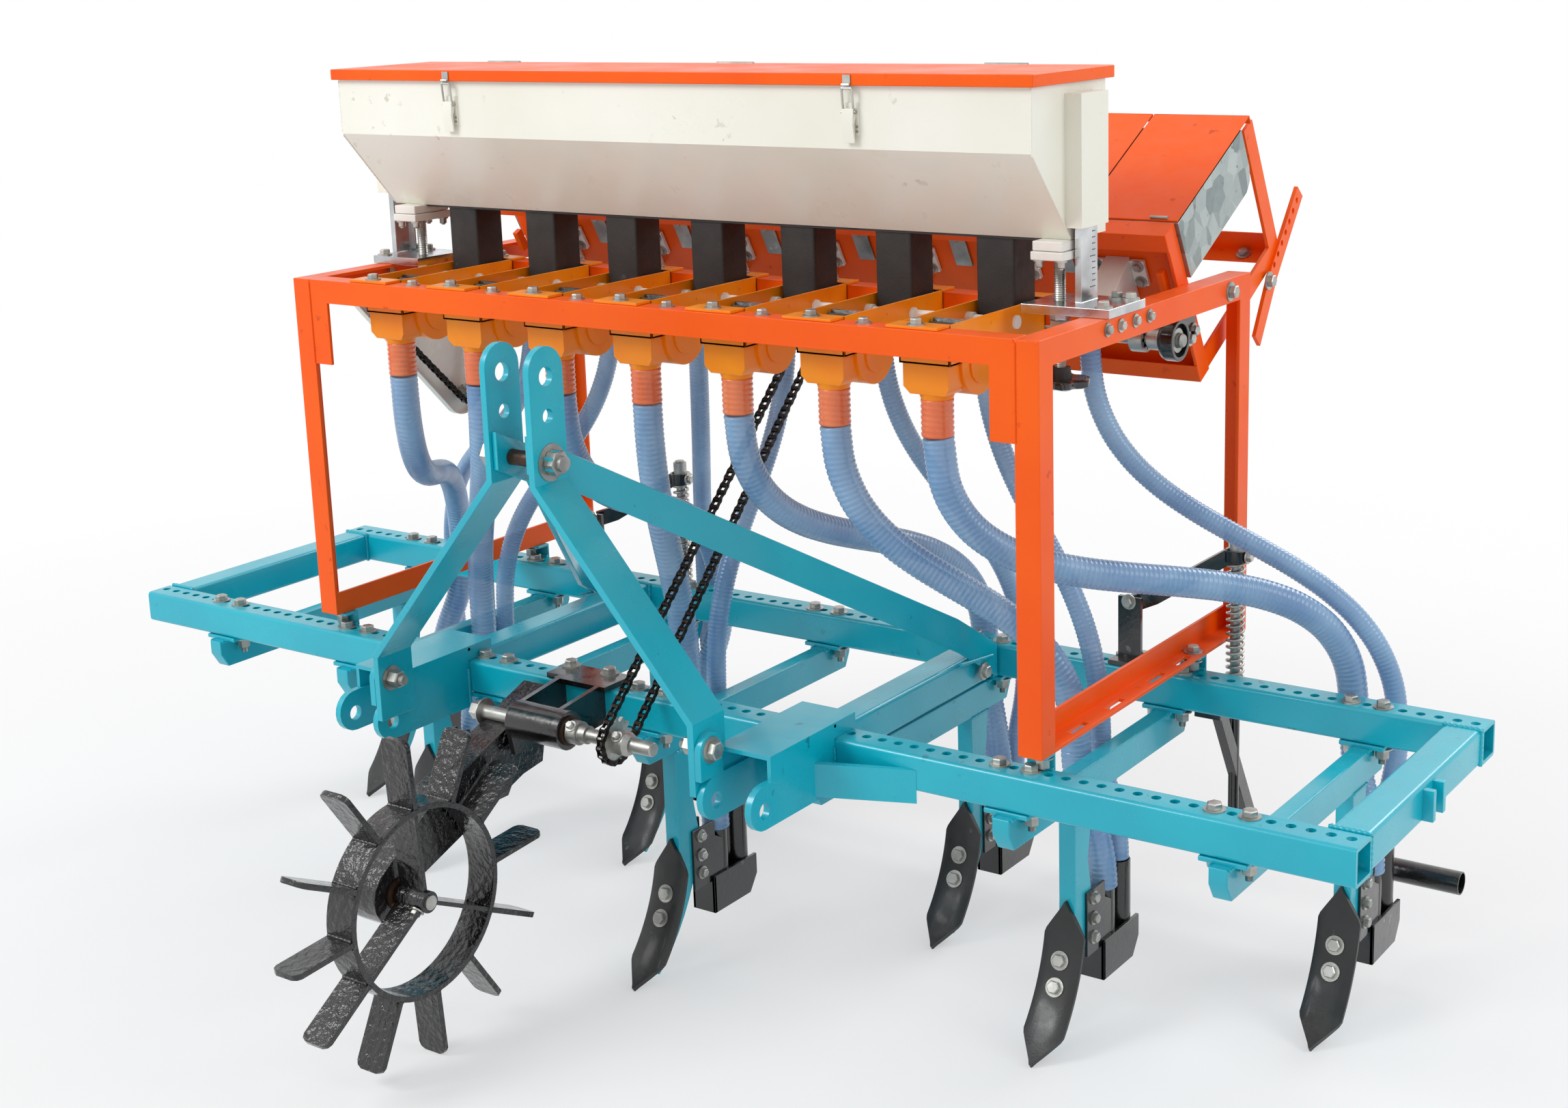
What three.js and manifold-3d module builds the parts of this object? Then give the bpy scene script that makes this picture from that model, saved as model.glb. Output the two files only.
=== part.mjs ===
// Seven-row mounted seed drill, in millimetres: +X to the right, +Y to the rear, +Z up, ground at Z = 0.
import * as THREE from "three";
import Module from "manifold-3d";
import { mergeVertices } from "three/addons/utils/BufferGeometryUtils.js";

const wasm = await Module();
wasm.setup();

// ---- driving dimensions ----
const SEAT = 0.3; // gap left between pieces that touch
const FRAME_LENGTH = 2130;
const FRAME_DEPTH = 500;
const FRAME_TOP = 435;
const TUBE = 50;
const TUBE_WALL = 5;

const ROWS = 7;
const ROW_PITCH = 298;
const ROW_CENTRE = 5;
const BLADE_FRONT = 52; // rear face of the shovel plate above the ground, from the front of the frame
const BLADE_MIDDLE = 156;
const BLADE_REAR = 387;
const SHOVEL_RADIUS = 235;
const SHOVEL_WIDTH = 60;
const SHANK_THICK = 25;
const ARM_DEPTH = 45;
const PAD_THICK = 5.7;

const HITCH_X = -35;
const LINK_INNER = 289; // inner face of the inner lower-link plate, from the hitch centre
const LINK_GAP = 67;
const LINK_PLATE = 10;
const LINK_PIN_Y = -160;
const MAST_HEIGHT = 530; // mast top above the frame
const MAST_HALF_GAP = 33.5;
const PIN_RADIUS = 10;
const CROSS_TUBE_OFFSET = 333;

const STAND_WIDTH = 1300;
const STAND_FRONT = 10;
const STAND_REAR = 630;
const STAND_FOOT = FRAME_TOP + 24;
const STAND_TOP = FRAME_TOP + 558;
const ANGLE = 35;
const ANGLE_THICK = 5;

const CUP_X = -15;
const BOX_X = -26;
const BOX_HALF = 607;
const BOX_WALL = 4;
const BOX_RIM = 1298;
const BOX_BEND = 1204;
const BOX_BOTTOM = 1086;
const BOX_FRONT = 118;
const BOX_FLOOR_FRONT = 220;
const BOX_REAR = 316;

const CUP_PITCH = 160;
const CUP_HALF = 38;
const CUP_WALL = 3;
const SPIGOT_Y = 75;
const CHUTE = 58;
const CHUTE_Y = 254;
const CHUTE_BOTTOM = STAND_TOP - 28;
const JACK_OFFSET = 575;
const JACK_Y = 229;

const PLANTER_Y = 440; // lower front corner of the planter lid
const PLANTER_Z = STAND_TOP + 83;
const PLANTER_TILT = THREE.MathUtils.degToRad(28);
const PLANTER_PITCH = 172;
const PLANTER_HALF = STAND_WIDTH / 2 - ANGLE - SEAT;
const HOPPER_LENGTH = 248;
const HOPPER_DEPTH = 92;
const SHEET = 2;
const BIN_WALL = 1.6;
const LID_SHEET = 1.5;
const METER_Y = 430;
const METER_Z = STAND_TOP - 68;

const DRIVE_Y = -95;
const DRIVE_Z = FRAME_TOP - 29;
const DRIVE_CHAIN_X = 39;
const WHEEL_X = -120;
const WHEEL_Y = -336;
const WHEEL_Z = 232;
const WHEEL_RIM = 135;
const WHEEL_WIDTH = 48;
const RIM_THICK = 8;
const ARM_WALL = 6;
const LUG_COUNT = 12;
const SHAFT_RADIUS = 10;
const SHAFT_BORE = SHAFT_RADIUS + 0.6;

const LEVELLER_Y = 620;
const LEVELLER_Z = 135;
const LEVELLER_HALF = 990;
const LEVELLER_TUBE = 17;
const LEVELLER_WALL = 2;

const FRONT_HOSE_RADIUS = 21;
const REAR_HOSE_RADIUS = 15;
const HOSE_WALL = 1.5;
const BOOT_PIPE = 17;
const BOOT_WALL = 2.5;
const HOSE_EASE = 0.45;

// ---- materials ----
const paint = (color, roughness, metalness = 0) => new THREE.MeshStandardMaterial({ color, roughness, metalness });
const teal = paint(0x00a9bb, 0.4);
const orange = paint(0xf4560f, 0.45);
const cupPlastic = paint(0xf57f17, 0.5);
const cream = paint(0xf1f1e6, 0.35);
const black = paint(0x141416, 0.35);
const zinc = paint(0xb9bcbb, 0.35, 0.8);
const galvanised = paint(0xa9b1af, 0.4, 0.7);
const hosePlastic = paint(0x7d9cc6, 0.35);

// ---- solids ----
const solidOf = (geometry) => {
  const bare = geometry.index ? geometry.clone() : geometry;
  bare.deleteAttribute("normal");
  bare.deleteAttribute("uv");
  const merged = mergeVertices(bare, 1e-4);
  return new wasm.Manifold(new wasm.Mesh({
    numProp: 3,
    vertProperties: new Float32Array(merged.attributes.position.array),
    triVerts: new Uint32Array(merged.index.array),
  }));
};

const box = (x0, x1, y0, y1, z0, z1) => {
  const geometry = new THREE.BoxGeometry(Math.abs(x1 - x0), Math.abs(y1 - y0), Math.abs(z1 - z0));
  geometry.translate((x0 + x1) / 2, (y0 + y1) / 2, (z0 + z1) / 2);
  return solidOf(geometry);
};

const shapeOf = (points, hole) => {
  const shape = new THREE.Shape(points.map(([a, b]) => new THREE.Vector2(a, b)));
  if (hole) shape.holes.push(new THREE.Path(hole.map(([a, b]) => new THREE.Vector2(a, b))));
  return shape;
};

// A (y, z) outline pushed along X from x0 to x1.
const prismX = (points, x0, x1, hole) => {
  const geometry = new THREE.ExtrudeGeometry(shapeOf(points, hole), { depth: x1 - x0, bevelEnabled: false });
  geometry.applyMatrix4(new THREE.Matrix4().makeBasis(
    new THREE.Vector3(0, 1, 0), new THREE.Vector3(0, 0, 1), new THREE.Vector3(1, 0, 0)));
  geometry.translate(x0, 0, 0);
  return solidOf(geometry);
};

// An (x, z) outline pushed along Y from y0 to y1.
const prismY = (points, y0, y1, hole) => {
  const geometry = new THREE.ExtrudeGeometry(shapeOf(points, hole), { depth: y1 - y0, bevelEnabled: false });
  geometry.applyMatrix4(new THREE.Matrix4().makeBasis(
    new THREE.Vector3(1, 0, 0), new THREE.Vector3(0, 0, 1), new THREE.Vector3(0, -1, 0)));
  geometry.translate(0, y1, 0);
  return solidOf(geometry);
};

// An (x, y) outline pushed along Z from z0 to z1.
const prismZ = (points, z0, z1, hole) => {
  const geometry = new THREE.ExtrudeGeometry(shapeOf(points, hole), { depth: z1 - z0, bevelEnabled: false });
  geometry.translate(0, 0, z0);
  return solidOf(geometry);
};

const rodX = (radius, x0, x1, y, z, sides = 16) => {
  const geometry = new THREE.CylinderGeometry(radius, radius, x1 - x0, sides);
  geometry.rotateZ(Math.PI / 2);
  geometry.translate((x0 + x1) / 2, y, z);
  return solidOf(geometry);
};

const rodZ = (radius, z0, z1, x, y, sides = 16, topRadius = radius) => {
  const geometry = new THREE.CylinderGeometry(topRadius, radius, z1 - z0, sides);
  geometry.rotateX(Math.PI / 2);
  geometry.translate(x, y, (z0 + z1) / 2);
  return solidOf(geometry);
};

// A closed skin through equal-sized rings of points, capped at both ends.
const loft = (rings) => {
  const sides = rings[0].length;
  const index = [];
  for (let r = 0; r + 1 < rings.length; r++) {
    for (let s = 0; s < sides; s++) {
      const a = r * sides + s;
      const b = r * sides + ((s + 1) % sides);
      index.push(a, b + sides, b, a, a + sides, b + sides);
    }
  }
  const last = (rings.length - 1) * sides;
  for (let s = 1; s + 1 < sides; s++) index.push(0, s, s + 1, last, last + s + 1, last + s);
  const geometry = new THREE.BufferGeometry();
  geometry.setAttribute("position", new THREE.BufferAttribute(new Float32Array(rings.flat(2)), 3));
  geometry.setIndex(index);
  return solidOf(geometry);
};

// A flat bar on edge that follows a list of points [x, y, z].
const flatBar = (path, thick, height) => loft(path.map((point, i) => {
  const before = path[Math.max(i - 1, 0)];
  const after = path[Math.min(i + 1, path.length - 1)];
  const side = new THREE.Vector2(after[1] - before[1], before[0] - after[0]).normalize().multiplyScalar(thick / 2);
  const [x, y, z] = point;
  return [
    [x - side.x, y - side.y, z - height / 2], [x + side.x, y + side.y, z - height / 2],
    [x + side.x, y + side.y, z + height / 2], [x - side.x, y - side.y, z + height / 2],
  ];
}));

const join = (...solids) => solids.reduce((sum, solid) => sum.add(solid));
const cut = (solid, ...tools) => tools.reduce((rest, tool) => rest.subtract(tool), solid);
const each = (count, make) => Array.from({ length: count }, (_, i) => make(i - (count - 1) / 2, i));

const geometryOf = (solid) => {
  const mesh = solid.getMesh();
  const geometry = new THREE.BufferGeometry();
  geometry.setAttribute("position", new THREE.BufferAttribute(new Float32Array(mesh.vertProperties), 3));
  geometry.setIndex(new THREE.BufferAttribute(new Uint32Array(mesh.triVerts), 1));
  geometry.computeVertexNormals();
  return geometry;
};

const drill = new THREE.Group();
const addPart = (name, geometry, material, x = 0, y = 0, z = 0) => {
  const mesh = new THREE.Mesh(geometry, material);
  mesh.name = name;
  mesh.position.set(x, y, z);
  drill.add(mesh);
};
const addSolid = (name, solid, material, x, y, z) => addPart(name, geometryOf(solid), material, x, y, z);

// ---- main frame: two hollow beams, two end tubes, two cross tubes ----
const square = (a0, a1, b0, b1) => [[a0, b0], [a1, b0], [a1, b1], [a0, b1]];
const tubeBottom = FRAME_TOP - TUBE;
const lugX = STAND_WIDTH / 2 - 22;
const lug = (x, y) => join(
  box(x - 20, x + 20, y - 2, y + 2, FRAME_TOP - 1, STAND_FOOT - SEAT),
  box(x - 20, x + 20, y - 25, y + 2, STAND_FOOT - 4, STAND_FOOT - SEAT));
const beam = (y0) => join(
  prismX(square(y0, y0 + TUBE, tubeBottom, FRAME_TOP), -FRAME_LENGTH / 2, FRAME_LENGTH / 2,
    square(y0 + TUBE_WALL, y0 + TUBE - TUBE_WALL, tubeBottom + TUBE_WALL, FRAME_TOP - TUBE_WALL)),
  lug(-lugX, y0 + TUBE - 3), lug(lugX, y0 + TUBE - 3));
addSolid("front_beam", beam(0), teal);
addSolid("rear_beam", beam(FRAME_DEPTH - TUBE), teal);

const tieTube = () => prismY(square(-TUBE / 2, TUBE / 2, tubeBottom, FRAME_TOP), TUBE + SEAT,
  FRAME_DEPTH - TUBE - SEAT,
  square(TUBE_WALL - TUBE / 2, TUBE / 2 - TUBE_WALL, tubeBottom + TUBE_WALL, FRAME_TOP - TUBE_WALL));
const tieGeometry = geometryOf(tieTube());
const endTubeX = FRAME_LENGTH / 2 - TUBE / 2 - 2;
addPart("end_tube_left", tieGeometry, teal, -endTubeX);
addPart("end_tube_right", tieGeometry, teal, endTubeX);
addPart("cross_tube_left", tieGeometry, teal, HITCH_X - CROSS_TUBE_OFFSET);
addPart("cross_tube_right", tieGeometry, teal, HITCH_X + CROSS_TUBE_OFFSET);

// ---- three-point hitch: lower-link brackets, mast plates, braces ----
const linkOuter = LINK_INNER + LINK_PLATE + LINK_GAP;
const linkTop = FRAME_TOP - 12;
const linkBottom = linkTop - 60;
const linkPinZ = (linkTop + linkBottom) / 2 - 4;
const linkPlate = (x) => join(
  box(x, x + LINK_PLATE, LINK_PIN_Y, -SEAT, linkBottom, linkTop),
  rodX(30, x, x + LINK_PLATE, LINK_PIN_Y, (linkTop + linkBottom) / 2, 20));
const channelFront = LINK_PIN_Y + 16;
const channelWall = (x) => join(
  box(x, x + 6, channelFront, -SEAT, linkTop - 1, FRAME_TOP + 17),
  box(x, x + 6, -1, TUBE, FRAME_TOP + SEAT, FRAME_TOP + 17));
const lowerLink = cut(
  join(
    linkPlate(LINK_INNER), linkPlate(linkOuter),
    channelWall(LINK_INNER), channelWall(linkOuter + LINK_PLATE - 6),
    box(LINK_INNER, linkOuter + LINK_PLATE, channelFront, TUBE, FRAME_TOP + 16, FRAME_TOP + 22),
    box(LINK_INNER, LINK_INNER + LINK_PLATE, channelFront - 46, channelFront + 1, linkTop - 1, FRAME_TOP + 25),
    rodX(23, LINK_INNER, LINK_INNER + LINK_PLATE, channelFront - 23, FRAME_TOP + 25, 20)),
  rodX(11, LINK_INNER - 1, linkOuter + LINK_PLATE + 1, LINK_PIN_Y, linkPinZ, 20));
const gusset = prismZ([
  [linkOuter + LINK_PLATE - 1, -48], [linkOuter + LINK_PLATE - 1, -36],
  [linkOuter + 112, -SEAT], [linkOuter + 138, -SEAT],
], linkBottom + 6, linkTop - 8);
const mirrored = (solid) => {
  const geometry = geometryOf(solid);
  geometry.scale(-1, 1, 1);
  const index = geometry.index.array;
  for (let i = 0; i < index.length; i += 3) [index[i], index[i + 1]] = [index[i + 1], index[i]];
  geometry.computeVertexNormals();
  return geometry;
};
addPart("lower_link_left", mirrored(lowerLink), teal, HITCH_X);
addSolid("lower_link_right", join(lowerLink, gusset), teal, HITCH_X);

const mastY = LINK_PIN_Y + 3;
const mastHalfDepth = 33;
const pinZ = FRAME_TOP + 375;
const legX = LINK_INNER - SEAT - LINK_PLATE;
const mastRound = FRAME_TOP + MAST_HEIGHT - mastHalfDepth;
const mastPlate = cut(
  join(
    prismY([
      [legX, FRAME_TOP - 35], [legX + LINK_PLATE, FRAME_TOP - 35], [legX + LINK_PLATE, FRAME_TOP + 64],
      [MAST_HALF_GAP + LINK_PLATE, FRAME_TOP + 348], [MAST_HALF_GAP + LINK_PLATE, mastRound],
      [MAST_HALF_GAP, mastRound], [MAST_HALF_GAP, FRAME_TOP + 344], [legX, FRAME_TOP + 60],
    ], mastY - mastHalfDepth, mastY + mastHalfDepth),
    rodX(mastHalfDepth, MAST_HALF_GAP, MAST_HALF_GAP + LINK_PLATE, mastY, mastRound, 24)),
  rodX(13, MAST_HALF_GAP - 1, MAST_HALF_GAP + LINK_PLATE + 1, mastY, FRAME_TOP + MAST_HEIGHT - 40, 20),
  rodX(PIN_RADIUS, MAST_HALF_GAP - 1, MAST_HALF_GAP + LINK_PLATE + 1, mastY, FRAME_TOP + MAST_HEIGHT - 93, 20));
const pinBore = rodX(PIN_RADIUS + 0.4, -90, 90, mastY, pinZ, 20);
addPart("mast_left", mirrored(cut(mastPlate, pinBore)), teal, HITCH_X);
addSolid("mast_right", join(
  mastPlate,
  rodX(PIN_RADIUS, -MAST_HALF_GAP - LINK_PLATE - 24, MAST_HALF_GAP + LINK_PLATE + 24, mastY, pinZ, 20),
  rodX(17, MAST_HALF_GAP + LINK_PLATE - 1, MAST_HALF_GAP + LINK_PLATE + 16, mastY, pinZ, 6),
), teal, HITCH_X);

const braceTopX = MAST_HALF_GAP - SEAT - 4;
const braceFootX = CROSS_TUBE_OFFSET + TUBE / 2 + SEAT + 4;
const braceFootY = FRAME_DEPTH - TUBE - 4;
const brace = cut(flatBar([
  [braceTopX, mastY - 28, pinZ + 13], [braceTopX, mastY + 34, pinZ - 16],
  [braceFootX, braceFootY - 106, FRAME_TOP + 45], [braceFootX, braceFootY, FRAME_TOP - 22],
], 8, 52), pinBore);
addPart("brace_left", mirrored(brace), teal, HITCH_X);
addSolid("brace_right", brace, teal, HITCH_X);

// ---- stand: welded angle-iron side frames with a front and a middle rail ----
const outer = STAND_WIDTH / 2;
const standSide = join(
  box(outer - ANGLE, outer, STAND_FRONT, STAND_FRONT + ANGLE_THICK, STAND_FOOT, STAND_TOP),
  box(outer - ANGLE_THICK, outer, STAND_FRONT, STAND_FRONT + ANGLE, STAND_FOOT, STAND_TOP),
  box(outer - ANGLE, outer, STAND_REAR - ANGLE_THICK, STAND_REAR, STAND_FOOT, STAND_TOP),
  box(outer - ANGLE_THICK, outer, STAND_REAR - ANGLE, STAND_REAR, STAND_FOOT, STAND_TOP),
  box(outer - ANGLE, outer, STAND_FRONT, STAND_REAR, STAND_TOP - ANGLE_THICK, STAND_TOP),
  box(outer - ANGLE_THICK, outer, STAND_FRONT, STAND_REAR, STAND_TOP - ANGLE, STAND_TOP),
  box(outer - ANGLE, outer, STAND_FRONT, STAND_REAR, STAND_FOOT, STAND_FOOT + ANGLE_THICK),
  box(outer - ANGLE, outer - ANGLE + ANGLE_THICK, STAND_FRONT, STAND_REAR, STAND_FOOT, STAND_FOOT + ANGLE));
addPart("stand_left", mirrored(standSide), orange);
addSolid("stand_right", standSide, orange);

const railHalf = outer - ANGLE - SEAT;
const angleRail = (y0) => join(
  box(-railHalf, railHalf, y0, y0 + ANGLE_THICK, STAND_TOP - ANGLE, STAND_TOP),
  box(-railHalf, railHalf, y0, y0 + ANGLE, STAND_TOP - ANGLE_THICK, STAND_TOP));
const cornerPlate = (x0) => box(x0, x0 + ANGLE, STAND_FRONT, STAND_FRONT + ANGLE_THICK, STAND_TOP - 130, STAND_TOP - 2);
addSolid("front_rail", join(angleRail(STAND_FRONT), cornerPlate(-railHalf), cornerPlate(railHalf - ANGLE)), orange);
const troughRear = CHUTE_Y + CHUTE / 2 + 8;
addSolid("middle_rail", angleRail(troughRear + 1), orange);

// ---- seed box with lid, outlets, lifting screws and height guides ----
const sleeve = (side) => {
  const x0 = side > 0 ? BOX_HALF - 1 : -BOX_HALF - 24;
  const skin = box(x0, x0 + 25, JACK_Y - 24, JACK_Y + 49, BOX_BOTTOM + 17, BOX_RIM - 25);
  const inside = side > 0 ? [BOX_HALF - 2, BOX_HALF + 21] : [-BOX_HALF - 21, -BOX_HALF + 2];
  return skin.subtract(box(inside[0], inside[1], JACK_Y - 21, JACK_Y + 46, BOX_BOTTOM, BOX_RIM - 28));
};
const slope = (BOX_FLOOR_FRONT - BOX_FRONT) / (BOX_BEND - BOX_BOTTOM);
const boxShell = cut(
  prismX([
    [BOX_FRONT, BOX_RIM], [BOX_FRONT, BOX_BEND], [BOX_FLOOR_FRONT, BOX_BOTTOM],
    [BOX_REAR, BOX_BOTTOM], [BOX_REAR, BOX_RIM],
  ], -BOX_HALF, BOX_HALF),
  prismX([
    [BOX_FRONT + BOX_WALL, BOX_RIM + 1], [BOX_FRONT + BOX_WALL, BOX_BEND + 2],
    [BOX_FLOOR_FRONT + 6 - BOX_WALL * slope, BOX_BOTTOM + BOX_WALL],
    [BOX_REAR - BOX_WALL, BOX_BOTTOM + BOX_WALL], [BOX_REAR - BOX_WALL, BOX_RIM + 1],
  ], -BOX_HALF + BOX_WALL, BOX_HALF - BOX_WALL),
  ...each(ROWS, (k) => box(CUP_X - BOX_X + k * CUP_PITCH - 22, CUP_X - BOX_X + k * CUP_PITCH + 22,
    CHUTE_Y - 20, CHUTE_Y + 20, BOX_BOTTOM - 1, BOX_BOTTOM + BOX_WALL + 1)));
addSolid("seed_box", join(boxShell, sleeve(1), sleeve(-1)), cream, BOX_X);

const lidHalf = BOX_HALF + 8;
const lidFront = BOX_FRONT - 8;
const lidRear = BOX_REAR + 11;
addSolid("seed_box_lid", cut(
  box(-lidHalf, lidHalf, lidFront, lidRear, BOX_RIM - 12, BOX_RIM + 4),
  box(-lidHalf + 2.5, lidHalf - 2.5, lidFront + 2.5, lidRear + 1, BOX_RIM - 13, BOX_RIM + SEAT)), orange, BOX_X);

const outletTop = BOX_BOTTOM - SEAT;
const jack = (x) => join(
  box(x - 22, x + 22, JACK_Y - 34, JACK_Y + 41, BOX_BOTTOM - 25, outletTop),
  rodZ(8, STAND_TOP - 90, BOX_BOTTOM - 24, x, JACK_Y),
  rodZ(34, STAND_TOP - 104, STAND_TOP - 88, x, JACK_Y, 18));
addSolid("box_outlets", join(
  cut(
    join(
      box(-JACK_OFFSET, JACK_OFFSET, CHUTE_Y - 32, CHUTE_Y + 32, outletTop - 3, outletTop),
      ...each(ROWS, (k) => box(k * CUP_PITCH - CHUTE / 2, k * CUP_PITCH + CHUTE / 2,
        CHUTE_Y - CHUTE / 2, CHUTE_Y + CHUTE / 2, CHUTE_BOTTOM, outletTop - 1))),
    ...each(ROWS, (k) => box(k * CUP_PITCH - CHUTE / 2 + 3, k * CUP_PITCH + CHUTE / 2 - 3,
      CHUTE_Y - CHUTE / 2 + 3, CHUTE_Y + CHUTE / 2 - 3, CHUTE_BOTTOM - 1, outletTop + 1))),
  jack(-JACK_OFFSET), jack(JACK_OFFSET)), black, CUP_X);

const guidePlateTop = STAND_TOP + SEAT + 12;
const guide = (side) => {
  const x = CUP_X + side * JACK_OFFSET;
  const inner = x - side * 33;
  const edge = side * (outer + 5);
  const web = BOX_X + side * (BOX_HALF + 14);
  return cut(
    join(
      box(Math.min(inner, edge), Math.max(inner, edge), JACK_Y - 46, JACK_Y + 56, STAND_TOP + SEAT, guidePlateTop),
      rodZ(14, STAND_TOP - 13, STAND_TOP + 1, x, JACK_Y, 6),
      box(web - 1.5, web + 1.5, JACK_Y - 10, JACK_Y + 35, guidePlateTop - 1, BOX_RIM - 83),
      ...[-10, 32].map((dy) => box(web + (side > 0 ? -8 : -1.5), web + (side > 0 ? 1.5 : 8),
        JACK_Y + dy, JACK_Y + dy + 3, guidePlateTop - 1, BOX_RIM - 83))),
    rodZ(8.5, STAND_TOP - 20, guidePlateTop + 1, x, JACK_Y, 24));
};
addSolid("height_guide_left", guide(-1), zinc);
addSolid("height_guide_right", guide(1), zinc);

// ---- seed cups: seven open troughs with a spigot, joined by a tie rod ----
const troughFront = STAND_FRONT + ANGLE + 0.7;
const cupFloor = STAND_TOP - 50;
const cupTop = STAND_TOP + 3;
const bellyY = 120;
const belly = Array.from({ length: 13 }, (_, i) => {
  const angle = Math.PI + (i * Math.PI) / 12;
  return [bellyY + 45 * Math.cos(angle), cupFloor - 3 + 45 * Math.sin(angle)];
});
const cup = join(
  box(-CUP_HALF, -CUP_HALF + CUP_WALL, troughFront, troughRear, cupFloor, cupTop),
  box(CUP_HALF - CUP_WALL, CUP_HALF, troughFront, troughRear, cupFloor, cupTop),
  box(-CUP_HALF, CUP_HALF, troughFront, troughRear, cupFloor, cupFloor + 3),
  box(-CUP_HALF, CUP_HALF, troughFront, troughFront + 3, cupFloor, cupTop),
  box(-CUP_HALF, CUP_HALF, troughRear - 2, troughRear, cupFloor, cupTop),
  box(-CUP_HALF, CUP_HALF, STAND_FRONT + 6, troughFront + 3, STAND_TOP + SEAT, STAND_TOP + 4),
  box(-CUP_HALF, CUP_HALF, troughRear - 2, troughRear + 31, STAND_TOP + SEAT, STAND_TOP + 4),
  prismX([...belly, [bellyY + 45, cupFloor + 1], [bellyY - 45, cupFloor + 1]], -CUP_HALF, CUP_HALF),
  box(-CUP_HALF + 4, CUP_HALF - 4, SPIGOT_Y - 27, SPIGOT_Y + 27, cupFloor - 33, cupFloor + 1),
  rodZ(FRONT_HOSE_RADIUS, cupFloor - 46, cupFloor - 32, 0, SPIGOT_Y, 12, 26),
  rodZ(FRONT_HOSE_RADIUS - 2, cupFloor - 98, cupFloor - 45, 0, SPIGOT_Y, 12));
addSolid("seed_cups", join(
  ...each(ROWS, (k) => cup.translate([k * CUP_PITCH, 0, 0])),
  rodX(6, -(ROWS - 1) / 2 * CUP_PITCH - CUP_HALF - 2, (ROWS - 1) / 2 * CUP_PITCH + CUP_HALF + 2,
    CHUTE_Y - CHUTE / 2 - 13, STAND_TOP - 18, 12)), cupPlastic, CUP_X);

// ---- rear planter, laid out in its own tilted plane (u up the lid, v down through the hopper) ----
const tilted = (points) => points.map(([u, v]) => [
  PLANTER_Y + u * Math.cos(PLANTER_TILT) + v * Math.sin(PLANTER_TILT),
  PLANTER_Z + u * Math.sin(PLANTER_TILT) - v * Math.cos(PLANTER_TILT),
]);
const slab = (x0, x1, u0, u1, v0, v1) => prismX(tilted([[u0, v1], [u1, v1], [u1, v0], [u0, v0]]), x0, x1);
const BIN_SEAMS = [-620, -467, -280, -93, 93, 280, 467, 620];
const faceU = 14;
const footV = 252;
const funnelFront = METER_Y - 52;
const funnelOutline = [
  [funnelFront, STAND_TOP - 50], [funnelFront + 30, STAND_TOP - 50], [METER_Y + 4, STAND_TOP - 46],
  ...tilted([[faceU - SHEET + 1, 130], [faceU - SHEET + 1, 60]]), [METER_Y + 30, STAND_TOP + 20],
];
const funnelMiddle = [funnelFront + 55, STAND_TOP - 14];
const funnelInside = funnelOutline.map((point) => (
  point.map((a, i) => funnelMiddle[i] + 0.88 * (a - funnelMiddle[i]))));
const funnel = (x) => cut(
  join(
    prismX(funnelOutline, x - 20, x + 20),
    rodZ(REAR_HOSE_RADIUS - 2, STAND_TOP - 76, STAND_TOP - 48, x, funnelFront + 15, 12)),
  prismX(funnelInside, x - 17.5, x + 17.5),
  rodZ(REAR_HOSE_RADIUS - 4, STAND_TOP - 77, STAND_TOP - 40, x, funnelFront + 15, 12));
const bearing = (side) => {
  const x0 = side > 0 ? PLANTER_HALF - 1 : -PLANTER_HALF - 22;
  const foot = side > 0 ? x0 : x0 + 11;
  return join(
    rodX(29, x0, x0 + 23, METER_Y, METER_Z, 20),
    prismX([
      [METER_Y - 10, METER_Z - 26], [METER_Y + 78, METER_Z - 6], [METER_Y + 66, METER_Z + 30],
      [METER_Y + 5, METER_Z + 26],
    ], foot, foot + 12));
};
const endBar = (side) => {
  const x0 = side > 0 ? PLANTER_HALF - 38 : -PLANTER_HALF;
  const web = side > 0 ? PLANTER_HALF - 5 : -PLANTER_HALF;
  return join(
    slab(x0, x0 + 38, SHEET - 18.5, 2 * SHEET - 18, 1, footV - 1),
    slab(web, web + 5, SHEET - 18.5, faceU - 1, 1, footV - 1));
};
addSolid("planter_front", cut(
  join(
    prismX(tilted([
      [-18, footV], [faceU, footV], [faceU, 0], [-18, 0], [-18, 28], [SHEET - 18, 28], [SHEET - 18, SHEET],
      [faceU - SHEET, SHEET], [faceU - SHEET, footV - SHEET], [SHEET - 18, footV - SHEET],
      [SHEET - 18, footV - 28], [-18, footV - 28],
    ]), -PLANTER_HALF, PLANTER_HALF),
    endBar(-1), endBar(1), bearing(-1), bearing(1),
    ...each(ROWS, (k) => funnel(k * PLANTER_PITCH))),
  rodX(SHAFT_BORE, -PLANTER_HALF - 60, PLANTER_HALF + 60, METER_Y, METER_Z, 24)), orange);

const planterSide = (side) => {
  const x0 = side > 0 ? PLANTER_HALF - 8 : -PLANTER_HALF + 3;
  const armX = side > 0 ? x0 + 4 : x0 - 5;
  return join(
    slab(x0, x0 + 5, faceU + SEAT, 302, footV - 30, footV),
    slab(x0, x0 + 5, HOPPER_LENGTH + 22, HOPPER_LENGTH + 54, 18, footV - 29),
    prismX(tilted([[170, 330], [162, 306], [258, 248], [392, 194], [402, 218], [268, 274]]), armX, armX + 6));
};
addSolid("planter_side_left", planterSide(-1), orange);
addSolid("planter_side_right", planterSide(1), orange);
const rearRailHalf = PLANTER_HALF - 8 - SEAT;
addSolid("planter_rear_rail", join(
  slab(-rearRailHalf, rearRailHalf, 270, 302, footV - 3, footV),
  slab(-rearRailHalf, rearRailHalf, 299, 302, footV - 34, footV)), orange);

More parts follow.
